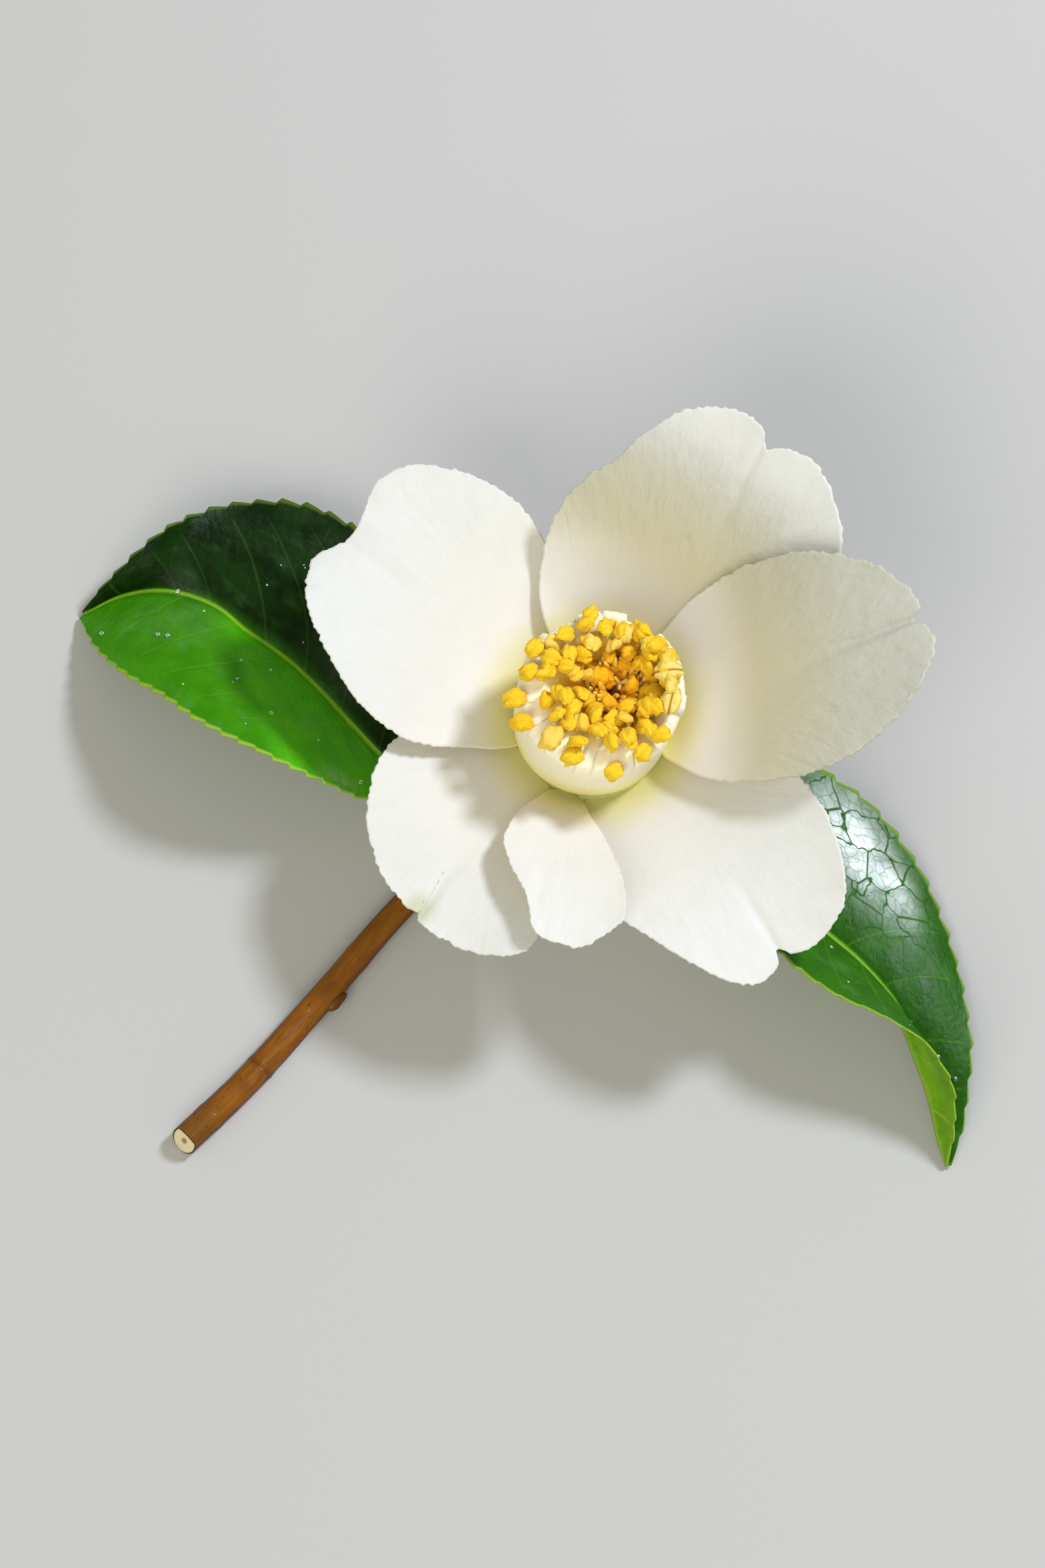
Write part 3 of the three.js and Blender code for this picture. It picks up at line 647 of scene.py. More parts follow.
def add_column():
    lifts = rib_lifts()
    profile = line_through([(r, z, shift * 10) for r, z, shift in COLUMN])
    bm = bmesh.new()
    grown = bm.verts.layers.float_vector.new("grown")
    rows = [(0, COLUMN[0][1], 0), *[profile(i / 44) for i in range(45)], (0, *COLUMN_FLOOR)]
    chain = []
    for radius, z, shift in rows:
        chain.append(bm.verts.new((radius, 0, z)))
        chain[-1][grown] = (shift / 10, 0, z)
    spin_round(bm, chain, RIBS * RIB_POINTS)
    for vert in bm.verts:
        shift, z = vert[grown][0], vert.co.z
        radius, angle = math.hypot(vert.co.x, vert.co.y), math.atan2(vert.co.y, vert.co.x)
        if radius > 1:
            rib = angle / FULL_TURN * RIBS
            groove = (1 - abs(math.cos(math.pi * rib))) ** 6
            nearest = round(rib)
            beside = nearest + (1 if rib > nearest else -1)
            here = lifts[nearest % RIBS]
            split = 0.15 if here == lifts[beside % RIBS] else 1
            loose = smooth(z, 20.5, 23.5)
            radius -= lerp(0.02, RIB_GROOVE * split, loose) * groove
            radius += 0.3 * loose * here * (1 - shift)
            z += (here - RIB_GROOVE * split * groove) * loose * (1 - 0.5 * shift)
        vert.co = (column_middle(z, shift) + polar(radius, angle)) * MM
        vert[grown] = (shift, angle * 9, vert[grown][2])
    add_piece(bm, "stamen_column", [THREAD_TISSUE], ["stamens"])


add_column()

# %% [markdown]
# ### Threads and anthers
# Each free thread carries an anther: two plump pollen sacs side by side, split along the middle
# and crusted with yellow pollen. A small sphere, pinched along its length, makes one. The threads
# stand in rings and lean in over the hollow, where shorter ones have lost their anther. Every
# random number comes from a fixed seed, so each run is the same.


# %% Pollen
def pollen_crust():
    """Pollen on ripe anthers, grown: dry egg-yellow grains, deeper in the split of each anther."""
    m, node = new_material("egg_yellow_pollen")
    inner, aside, _ = node("SeparateXYZ", node("Attribute"), output=ALL_THREE)
    tone_and_painted_shade = node("Attribute", output="Fac", attribute_name="tone_and_painted_shade")
    place = node("TexCoord", output="Object")
    clumps, grains = grain(node, place, 0.0005, 3), grain(node, place, 0.00016, 2)
    base = painted(
        node, 0xFFC80E, (tone_and_painted_shade, 0, 0.4, 0, 1, 0xFFD420), (tone_and_painted_shade, 0.7, 1, 0, 1, 0xFFE88C),
        (clumps, 0.42, 0.7, 0, 0.7, 0xFFDE40),
    )
    base = node("Mix", inner, base, 0xFFB408)
    split = node("MapRange", node("Math ABSOLUTE", aside), 0.02, 0.2, 1, 0)
    open_split = node("MapRange", tone_and_painted_shade, 0.97, 0.99, 0.14, 0.95)
    base = node("Mix", node("Math MULTIPLY", split, open_split), base, 0xB87818)
    relief = node("Math ADD", clumps, node("Math MULTIPLY", grains, 0.5))
    bump = node("Bump", {"Height": relief, "Distance": 0.0003, "Strength": 0.6})
    skin = node("BsdfPrincipled", {
        "Base Color": base, "Roughness": 0.72, "IOR": 1.45, "Specular IOR Level": 0.2,
        "Sheen Weight": 0.5, "Sheen Roughness": 0.6, "Sheen Tint": (1, 0.72, 0.12, 1),
        "Normal": bump,
    })
    glow = node("BsdfTranslucent", {"Color": base, "Normal": bump})
    node("OutputMaterial", node("MixShader", 0.14, skin, glow))
    return m


POLLEN_CRUST = pollen_crust()

# %% Where the stamens stand
# Each ring gives its radius, how many stamens stand on it, their free length and their lean,
# which is outward above 0. The strays hang over the rim. Each gives its angle in degrees, its
# radius, length and lean, and then its anther's turn, size and tone. Tone 1 is pale and split.
STAMEN_RINGS = [
    (7.4, 16, 2.2, 0), (6.5, 16, 2.9, 0.05), (5.5, 15, 3.1, 0), (4.5, 13, 2.8, -0.04),
    (3.7, 11, 2.4, -0.1), (2.9, 10, 2.8, -0.18), (2.5, 9, 3.6, -0.3),
]
STRAY_STAMENS = [
    (187, 9.2, 1.5, 0.75, 0.25, 1.15, 0.2), (203, 9.2, 1.1, 0.9, 0.05, 1.1, 0.1),
    (278, 9.2, 0.6, 1.6, 0.6, 1, 0.3), (100, 8.2, 2.4, 0.1, 1, 0.9, 0.5),
    (8, 6.4, 3.4, 0.1, 0.1, 1.25, 1), (-17, 7.3, 2.9, 0.15, 1.35, 1.25, 1),
    (150, 8.5, 2.2, 0.2, 0.7, 1, 0.3), (169, 8.1, 2, 0.25, 0.3, 1.05, 0.2),
    (226, 8.1, 2, 0.3, 1.2, 1.3, 0.85), (247, 8.5, 1.6, 0.35, 0.5, 1.1, 0.4),
    (300, 8.5, 1.8, 0.35, 0.9, 1, 0.3), (318, 8.2, 2.2, 0.3, 0.2, 1, 0.2),
]
HOLLOW_THREADS = 84


def stamens_on_rings(rng):
    """Yields each stamen's root, direction and free length."""
    for radius, count, length, lean in STAMEN_RINGS:
        for i in range(count):
            angle = FULL_TURN * (i + rng.uniform(-0.35, 0.35)) / count + radius
            root = column_top(max(radius + rng.uniform(-0.4, 0.4), 2.35), angle)
            outward = lean + rng.uniform(-0.2, 0.2)
            aside = rng.uniform(-0.18, 0.18)
            x = outward * math.cos(angle) - aside * math.sin(angle)
            y = outward * math.sin(angle) + aside * math.cos(angle)
            yield root, Vector((x, y, 1)).normalized(), length + rng.uniform(-0.9, 0.9)


# %% Grow threads and anthers
ANTHER = (1.35, 0.98, 0.78)  # half of its length, width and depth
THREAD_RADIUS = 0.32
HOLLOW_RADIUS = 0.5  # of the short threads in the hollow


def any_turn(rng):
    turned = Matrix.Rotation(rng.uniform(0, math.pi), 3, "Z")
    turned @= Matrix.Rotation(rng.uniform(-0.9, 0.9), 3, "Y")
    return turned @ Matrix.Rotation(rng.uniform(-1.2, 1.2), 3, "X")


def add_anther(bm, tip, turned, size, tone_and_painted_shade):
    """Pinches a small sphere into two pollen sacs, with its poles at the anther's ends."""
    store, shade = bm.verts.layers.float_vector["grown"], bm.verts.layers.float["tone_and_painted_shade"]
    inner = 0.9 * (1 - smooth((tip - column_middle(24, 0.8)).xy.length, 1, 5.5))
    for vert in bmesh.ops.create_uvsphere(bm, u_segments=18, v_segments=11, radius=1)["verts"]:
        aside, deep, length = vert.co
        pinch = hump(aside, 0.3)
        x = length * ANTHER[0] * (1 - 0.16 * pinch)
        y = aside * ANTHER[1] * (1 - 0.12 * length**2)
        z = deep * ANTHER[2] * (1 - 0.4 * pinch) - 0.22 * length**2
        spot = Vector((x, y, z))
        lump = 1 + 0.3 * noise.noise(spot * 1.7 + tip) + 0.16 * noise.noise(spot * 3.6 - tip)
        vert.co = (tip + turned @ (spot * lump * size)) * MM
        vert[store], vert[shade] = (inner, aside, length), tone_and_painted_shade


def add_thread(bm, root, direction, length, girth, rng):
    tip = root + direction * length
    sway = Vector((rng.uniform(-0.3, 0.3), rng.uniform(-0.3, 0.3), 0))
    line = line_through([root - direction * 1.2, root.lerp(tip, 0.45) + sway, tip], samples=8)

    def radius(share, _):
        return girth * (1 - 0.3 * share) * math.sqrt(max(1 - smooth(share, 0.7, 1.02) ** 2, 0.02))

    add_tube(bm, line, 8, 8, radius)
    return tip


def add_stamens():
    rng = random.Random(8)
    threads, anthers = bmesh.new(), bmesh.new()
    grown = threads.verts.layers.float_vector.new("grown")
    anthers.verts.layers.float_vector.new("grown")
    anthers.verts.layers.float.new("tone_and_painted_shade")
    for root, heading, length in stamens_on_rings(rng):
        girth = THREAD_RADIUS * rng.uniform(0.9, 1.15)
        tip = add_thread(threads, root, heading, length, girth, rng)
        add_anther(anthers, tip, any_turn(rng), rng.uniform(0.82, 1.1), rng.uniform(0, 0.9))
    for degrees, radius, length, lean, turn, size, tone_and_painted_shade in STRAY_STAMENS:
        angle = math.radians(degrees)
        root, heading = column_top(radius, angle), polar(lean, angle, 1).normalized()
        tip = add_thread(threads, root, heading, length, THREAD_RADIUS, rng)
        add_anther(anthers, tip, Matrix.Rotation(turn, 3, "Z"), size, tone_and_painted_shade)
    for i in range(HOLLOW_THREADS):
        angle, away = 2.4 * i, 0.2 + 2.1 * math.sqrt(i / HOLLOW_THREADS)
        root = column_middle(COLUMN[-1][1] + 0.5, 1) + polar(away, angle)
        heading = polar(0.2, angle, 1).normalized()
        add_thread(threads, root, heading, rng.uniform(5.6, 7.4), HOLLOW_RADIUS, rng)
    for vert in threads.verts:
        inner = 1 - smooth((vert.co / MM - column_middle(22, 0.8)).xy.length, 1.5, 6)
        vert[grown] = (0.75 * inner, vert[grown][1], vert.co.z / MM)
    print(sum(count for _, count, _, _ in STAMEN_RINGS) + len(STRAY_STAMENS), "stamens")
    add_piece(threads, "stamen_threads", [THREAD_TISSUE], ["stamens"])
    add_piece(anthers, "anthers", [POLLEN_CRUST], ["stamens"])


add_stamens()

# %% [markdown]
# ## Ovary and style
# Deep inside the column a small silky ovary carries the style, which splits into three arms.
# It hardly shows, yet a bee would look for it, so it is there: one tube, and three short ones.

# %% Grow the pistil
PISTIL = [(0.8, 0), (1.15, 0.5), (1.15, 1.4), (0.5, 2.4), (0.35, 4.8)]  # radius and height


def green_flesh(name, young, old, rough, silk):
    """Young green plant flesh, grown: soft skin over wet cells, with fine silk on bud scales."""
    m, node = new_material(name)
    lines = grain(node, node("Attribute"), 0.4, 3, (8, 1, 1))
    fleck = grain(node, node("TexCoord", output="Object"), 0.0015, 3)
    base = painted(node, young, (lines, 0.3, 0.7, 0, 1, old), (fleck, 0.5, 0.8, 0, 0.5, old))
    bump = node("Bump", {"Height": lines, "Distance": 0.00008, "Strength": 0.7})
    skin = node("BsdfPrincipled", {
        "Base Color": base, "Roughness": rough, "IOR": 1.42, "Sheen Weight": silk,
        "Sheen Roughness": 0.4, "Subsurface Weight": 0.15,
        "Subsurface Radius": (0.6, 1.0, 0.2), "Subsurface Scale": 0.0008, "Normal": bump,
    })
    node("OutputMaterial", skin)
    return m


def add_pistil():
    foot = COLUMN[-1][1] + 0.35
    outline = line_through([(r, z, 0) for r, z in PISTIL])
    axis = line_through([column_middle(foot + rise, 1) for rise in (0, 2.4, 4.8)])

    def radius(share, angle):
        return outline(share).x * (1 + 0.08 * math.cos(3 * angle))

    bm = bmesh.new()
    add_tube(bm, axis, 24, 18, radius)
    fork = column_middle(foot + 4.6, 1)
    for arm in range(3):
        side = polar(1, math.radians(120 * arm + 20))
        points = [fork, fork + side * 0.35 + UP * 0.7, fork + side * 0.9 + UP * 1.1]
        add_tube(bm, line_through(points, samples=8), 6, 10, lambda share, _: 0.26 - 0.1 * share)
    style = green_flesh("pale_style_flesh", 0xEFD98A, 0xDCC264, 0.5, 0.3)
    add_piece(bm, "ovary_and_style", [style], ["pistil"])


add_pistil()

# %% [markdown]
# ## Calyx
# Under the bloom sit overlapping bud scales (perules), green with pale silky rims. Each is a
# small grid laid on the bowl of the flower's foot. The bowl itself is spun from its profile.

# %% The bowl
CALYX_FOOT = (1.6, 3.5)  # radius and height
CALYX_RIM = (9.6, 9.3)
RECEPTACLE_TOP = (8.6, 12.25)
PERULE_DEPTH = 0.6
PERULE_WHORLS = [
    dict(count=5, azimuth=20, foot=0.16, rim=1, out=0.3),
    dict(count=4, azimuth=65, foot=0.12, rim=0.74, out=0.65),
]


def bowl(share):
    quarter = min(max(share, 0), 1) * math.pi / 2
    radius = lerp(CALYX_FOOT[0], CALYX_RIM[0], math.sin(quarter) ** 0.9)
    return radius, lerp(CALYX_FOOT[1], CALYX_RIM[1], 1 - math.cos(quarter))


def add_bowl(material):
    bm = bmesh.new()
    grown = bm.verts.layers.float_vector.new("grown")
    rows = [(0, CALYX_FOOT[1])] + [bowl(i / 16) for i in range(17)]
    rows = [(max(r - 0.25, 0), z) for r, z in rows] + [RECEPTACLE_TOP, (0, RECEPTACLE_TOP[1])]
    spin_round(bm, [bm.verts.new((r, 0, z)) for r, z in rows], 72)
    for vert in bm.verts:
        vert[grown] = (vert.co.z, math.atan2(vert.co.y, vert.co.x) * 6, 0)
        vert.co *= MM
    add_piece(bm, "flower_foot", [material], ["calyx"])


def add_perule(number, whorl, azimuth, material):
    """A rounded scale on the bowl. Its grid is drawn into a disc, then wrapped round."""
    half_angle = 1.25 * math.pi / whorl["count"]
    bm, grown, depth = sheet(26, 26)
    for vert in bm.verts:
        ring, turn = ring_and_turn(vert.co.x, vert.co.y)
        across, up = ring * math.cos(FULL_TURN * turn), ring * math.sin(FULL_TURN * turn)
        share = lerp(whorl["foot"], whorl["rim"], (up + 1) / 2)
        radius, z = bowl(share)
        facing = share * math.pi / 2
        out = whorl["out"] + 0.06 * lumps(across * 9, up * 1.5, number)
        radius += out * math.sin(facing)
        angle = azimuth + half_angle * across
        vert.co = polar(radius, angle, z - out * math.cos(facing)) * MM
        vert[grown] = (up * 5, across * 5, ring)
        vert[depth][0] = lerp(1, 0.3, ring**5)
    bm.normal_update()
    if sum(f.normal.dot(f.calc_center_median() - Vector((0, 0, 9 * MM))) for f in bm.faces) < 0:
        bmesh.ops.reverse_faces(bm, faces=bm.faces)
    add_piece(bm, f"bud_scale_{number}", [material], ["calyx"], PERULE_DEPTH)


scale_flesh = green_flesh("silky_bud_scale", 0xA9B873, 0x7E9A46, 0.6, 0.5)
add_bowl(green_flesh("pale_receptacle_flesh", 0xD3D58C, 0xBCC46E, 0.5, 0.0))
number = 0
for whorl in PERULE_WHORLS:
    for i in range(whorl["count"]):
        number += 1
        azimuth = math.radians(whorl["azimuth"] + 360 * i / whorl["count"])
        add_perule(number, whorl, azimuth, scale_flesh)

# %% [markdown]
# ## The side shoot
# One-year-old camellia wood: a thin orange-brown bark with a satin gloss, fine long cracks, dark
# specks, and raised rings where earlier scales fell off. It was cut at a slant, so its end shows
# pale wood round a small pith. The solids' line, extruded ring by ring, carries all of that.

# %% What the shoot measures
TWIG_LINE = [
    (-47, -47.3, 1.62), (-39.7, -40.1, 1.66), (-30.9, -29.9, 1.6), (-21.9, -19.2, 1.52),
    (-10, -7.6, 1.36), (0, 0, 1.14), (3.2, 2.6, 1.3),
]
TWIG_RADIUS = (1.72, 1.3)  # at the cut, and under the bloom
TWIG_RINGS = (4, 12.2, 29.6)  # how far from the cut the raised rings stand
SHOOT_BUD_LINE = [(2.9, 2.2, 1.42), (6.4, 5.8, 1.6), (9, 8.9, 1.25), (11, 11.6, 0.4)]
SHOOT_BUD_RADIUS = (0.9, 1.7, 1.3, 0.3)


# %% Bark and wood
def young_bark():
    """Bark of a one-year shoot, grown: satin, orange brown, with long cracks and dark specks."""
    m, node = new_material("orange_brown_bark")
    grown = node("Attribute")
    along, _, up = node("SeparateXYZ", grown, output=ALL_THREE)
    cracks = grain(node, grown, 0.35, 4, (9, 1, 1))
    patches = grain(node, grown, 2.2, 3, (2.5, 1, 1))
    specks = grain(node, grown, 0.45, 1, (1.8, 1, 1))
    apart = node("Math ABSOLUTE", node("Math SUBTRACT", along, TWIG_RINGS[1]))
    apart = node("Math ADD", apart, node("Math MULTIPLY", patches, 2))
    base = painted(
        node, 0x8A5603, (patches, 0.35, 0.7, 0, 1, 0x6E4004), (cracks, 0.4, 0.7, 0, 0.6, 0xA06C14),
        # The second coat on the next line, which follows up, is painted shade: it darkens the
        # bark's flanks and underside.
        (along, 60, 25, 0, 0.3, 0x783A06), (up, 1.2, 0.1, 0, 0.8, 0x5A2604),
        (apart, 1, 1.8, 0.6, 0, 0x4A2410), (along, 9, 1, 0, 0.5, 0x5A3C10),
        (specks, 0.7, 0.78, 0, 0.7, 0x2E1A10), (specks, 0.28, 0.2, 0, 0.4, 0xC08A50),
    )
    relief = node("Math ADD", cracks, node("Math MULTIPLY", specks, 0.6))
    bump = node("Bump", {"Height": relief, "Distance": 0.00012, "Strength": 0.6})
    skin = node("BsdfPrincipled", {
        "Base Color": base, "Roughness": node("MapRange", patches, 0.3, 0.7, 0.36, 0.52),
        "IOR": 1.42, "Specular IOR Level": 0.3, "Coat Weight": 0.05, "Coat Roughness": 0.3,
        "Normal": bump,
    })
    node("OutputMaterial", skin)
    return m


def cut_wood():
    """Fresh end grain, cut by shears: pale, moist, with rings round a darker pith."""
    m, node = new_material("pale_cut_wood")
    grown = node("Attribute")
    _, side, up = node("SeparateXYZ", grown, output=ALL_THREE)
    across = node("CombineXYZ", 0.0, side, up)
    radius = node("VectorMath LENGTH", across, output="Value")
    rays = grain(node, grown, 0.12, 3)
    base = painted(
        node, 0x9C7B4A, (radius, 0.25, 0.5, 0, 1, 0xE6D6AE),
        (radius, 1.42, 1.52, 0, 1, 0xA9B866), (rays, 0.45, 0.7, 0, 0.4, 0xB79B68),
    )
    bump = node("Bump", {"Height": rays, "Distance": 0.0001, "Strength": 0.6})
    skin = node("BsdfPrincipled", {"Base Color": base, "Roughness": 0.6, "Normal": bump})
    node("OutputMaterial", skin)
    return m


# %% Grow the shoot
def scale_steps(share, angle, edges):
    """How many of the wrapped scales cover a place. Each has a pointed edge."""
    ahead_of = (reach + 0.13 * math.cos(angle - facing) - share for reach, facing in edges)
    return sum(smooth(apart, 0, 0.02) for apart in ahead_of)


def add_side_bud(bm):
    """A dormant bud in an old leaf's armpit: a plump cone of overlapping scales."""
    heading = polar(1, math.radians(40))
    seat = Vector((-29.5, -30.7, 1.7))
    line = line_through([seat - heading * 1.5, seat, seat + heading * 1.5], samples=10)

    def radius(share, angle):
        plump = 0.8 * math.sqrt(max(1 - (2 * share - 1) ** 2, 0.004)) * (1 - 0.35 * share)
        return plump + 0.05 * scale_steps(share, angle, [(0.35, 0.6), (0.6, 3.4)])

    add_tube(bm, line, 26, 20, radius)


def add_shoot():
    line = line_through(TWIG_LINE)

    def radius(share, angle):
        along, x, y = share * line.length, math.cos(angle), math.sin(angle)
        ring = max(hump(along - scar, 0.6) for scar in TWIG_RINGS)
        edge = 0.06 * ring * lumps(share * 300, 2 * x, 2 * y)
        ridge = 0.02 * lumps(along / 5, 2.2 * x, 2.2 * y)
        wart = 0.05 * max(lumps(along / 0.8, 3 * x, 3 * y + 9) - 0.3, 0)
        return lerp(*TWIG_RADIUS, share) + 0.07 * ring + edge + ridge + wart

    bm = bmesh.new()
    first, foot = add_tube(bm, line, 190, 28, radius)
    grown = bm.verts.layers.float_vector["grown"]
    start = line(0)
    for vert in first:
        vert.co += ahead(line, 0) * 0.5 * (vert.co.z - start.z * MM)
    bmesh.ops.inset_individual(bm, faces=[foot], thickness=0.22 * MM)
    foot.material_index = 1
    bmesh.ops.inset_individual(bm, faces=[foot], thickness=0.75 * MM)
    bmesh.ops.poke(bm, faces=[foot])
    side, up = axes_across(ahead(line, 0))
    for vert in {v for face in bm.faces if face.material_index == 1 for v in face.verts}:
        off = vert.co / MM - start
        vert[grown] = (0, off.dot(side), off.dot(up))
    add_side_bud(bm)
    add_piece(bm, "side_shoot", [young_bark(), cut_wood()], ["twig"])


add_shoot()

# %% [markdown]
# ## The shoot's own bud
# Beside the bloom the shoot carries its next bud, slim and leafy, wrapped in pointed green
# scales. One tube does it: its radius steps in wherever a scale ends.


# %% Grow the bud
def add_shoot_bud():
    line = line_through(SHOOT_BUD_LINE)
    girth = line_through([(r, 8 * i, 0) for i, r in enumerate(SHOOT_BUD_RADIUS)])

    def radius(share, angle):
        wraps = scale_steps(share, angle, [(0.3, 1.2), (0.5, 4.2), (0.72, 2.4)])
        return girth(share).x * (0.9 + 0.06 * wraps) * smooth(1.06 - share, 0, 0.1)

    bm = bmesh.new()
    add_tube(bm, line, 70, 28, radius)
    flesh = green_flesh("green_bud_flesh", 0xB4C46A, 0x8FAA44, 0.42, 0.15)
    add_piece(bm, "shoot_tip_bud", [flesh], ["shoot_bud"])


add_shoot_bud()

# %% [markdown]
# ## Leaves
# A camellia leaf is leather: thick, stiff, dark and glossy above, paler and matt below. Its
# midrib lies in a groove, the side veins loop before they reach the rim, a net of small veins
# quilts the skin between them, and the rim has fine teeth that lean towards the tip. One grid
# runs along the blade, between a midrib and two edge lines. Its points carry all of the relief.

# %% What the leaves measure
# The tone entry is painted light and shade: how bright a green each half is, left and right of the
# midrib, by how the light falls on it. pale is painted light: how much brighter the left half is
# near its foot, against the left petal's shadow. film says where the thick shiny wax lies: the
# place of each patch along and across the blade, its spread and how thick it is.
LEAVES = {
    "leaf_left": dict(
        tone_and_painted_shade=(0.58, 0), pale=0.56,
        film=[(0.2, -0.9, 0.05, 1), (0.75, -0.25, 0.1, 0.7), (0.3, 0.3, 0.07, 0.5)],
        petiole=[(-14, -8.1, 1.9), (-17, -7.4, 3.1)],
        midrib=[
            (-20, -5.9, 4.3), (-24, -2.5, 4.9), (-34.6, 8.8, 5.6), (-40.1, 13, 5.4),
            (-43.7, 16.1, 5), (-48.1, 18.1, 4), (-51.6, 18.7, 3), (-55.6, 18.2, 1.8),
            (-59.6, 16.5, 0.6),
        ],
        right=[
            (-19.6, -5.4, 4.3), (-20.2, 0.9, 4.2), (-19.6, 8, 4), (-21.5, 17, 4), (-26, 24.5, 4),
            (-32.8, 28.5, 4.3), (-40.1, 28.8, 5), (-45.9, 27, 6.4), (-50.4, 24, 8),
            (-56.5, 19.5, 4), (-59.7, 16.9, 0.7),
        ],
        left=[
            (-20.4, -6.4, 4.3), (-25.9, -8, 8), (-31.7, -6.7, 12.3), (-39, -3.9, 15.2),
            (-45.2, -0.4, 14.4), (-49.5, 3.3, 12), (-54.3, 7.2, 8.3), (-57.9, 11.7, 4),
            (-60, 16.1, 0.7),
        ],
    ),
    "leaf_right": dict(
        tone_and_painted_shade=(0.22, 0.3), pale=0, film=[(0.35, -0.68, 0.13, 1), (0.45, -0.72, 0.09, 1)],
        petiole=[(-2.4, -4.4, 1.7), (4, -7.6, 2.6)],
        midrib=[
            (12, -10.4, 4), (20, -16.6, 5), (27.3, -23.3, 5.2), (31.1, -26.7, 5),
            (35.3, -31.7, 4.3), (38.1, -38.4, 3), (39.4, -42.6, 2.1), (40.3, -47, 1.2),
            (41.2, -50, 0.6),
        ],
        right=[
            (11.5, -10.8, 4.2), (13, -17.5, 8.6), (17, -23.6, 11.6), (21.6, -27.7, 13),
            (25, -31, 14), (28.9, -33.6, 14.3), (32.3, -35, 14), (35.6, -36.6, 13),
            (38.4, -38.2, 11.6), (40.1, -40.2, 10), (41.5, -42.5, 7.8), (41.7, -46.8, 3.8),
            (41.1, -50.1, 0.8),
        ],
        left=[
            (12.4, -9.9, 4), (16, -4.6, 4.2), (20.6, -2.4, 4.2), (25.3, -2.8, 3.9),
            (28.7, -4.7, 3.4), (32, -6.9, 2.8), (34.8, -10, 2.2), (38.2, -14.8, 1.6),
            (40.7, -20.9, 1.4), (42.7, -28, 1.9), (43.8, -36.3, 2.4), (43.5, -40.5, 2.2),
            (42.6, -46.4, 1.3), (41.5, -50, 0.7),
        ],
    ),
}
LEAF_BULGE = 0.8
TOOTH_PITCH = 2.9
TOOTH_DEPTH = 0.7
TOOTH_CREST = 0.84  # where in each pitch the tooth is highest, so that it leans to the tip
TOOTH_POINTS = 12  # grid lines to a tooth
BLADE_ROWS = 84  # grid rows across the blade
BLADE_DEPTH = 1.2  # where its points' weight is 1
PETIOLE_RADIUS = (0.9, 0.45)
VEIN_PITCH = 6.4
NET_PITCHES = [(3.5, 0.04), (1.4, 0.09)]  # the pitch of each net, and its lines' width
DROPS_PER_LEAF = 26


# %% Leaf skins
def leaf_vein_lines(node):
    """The midrib, the side veins and the net of a leaf, each 1 on its line and 0 beside it."""
    veins = node("Attribute", attribute_name="veins")
    midrib, count, shown = node("SeparateXYZ", veins, output=ALL_THREE)
    rib = node("MapRange", midrib, 0.25, 0.8)
    nearest = node("Math PINGPONG", count, 0.5)
    side_vein = node("Math MULTIPLY", node("MapRange", nearest, 0.012, 0.035, 1, 0), shown)
    grown = node("Attribute")
    wander = node("Math MULTIPLY", grain(node, grown, 2.5, 2), 2)
    spot = node("VectorMath ADD", grown, wander)
    lines = []
    for pitch, width in NET_PITCHES:
        sockets = {"Vector": spot, "Scale": 1 / pitch}
        edge = node("TexVoronoi", sockets, output="Distance", feature="DISTANCE_TO_EDGE")
        lines.append(node("MapRange", edge, 0.01, width, 1, 0))
    net = node("Math MAXIMUM", lines[0], node("Math MULTIPLY", lines[1], 0.4))
    return rib, side_vein, net


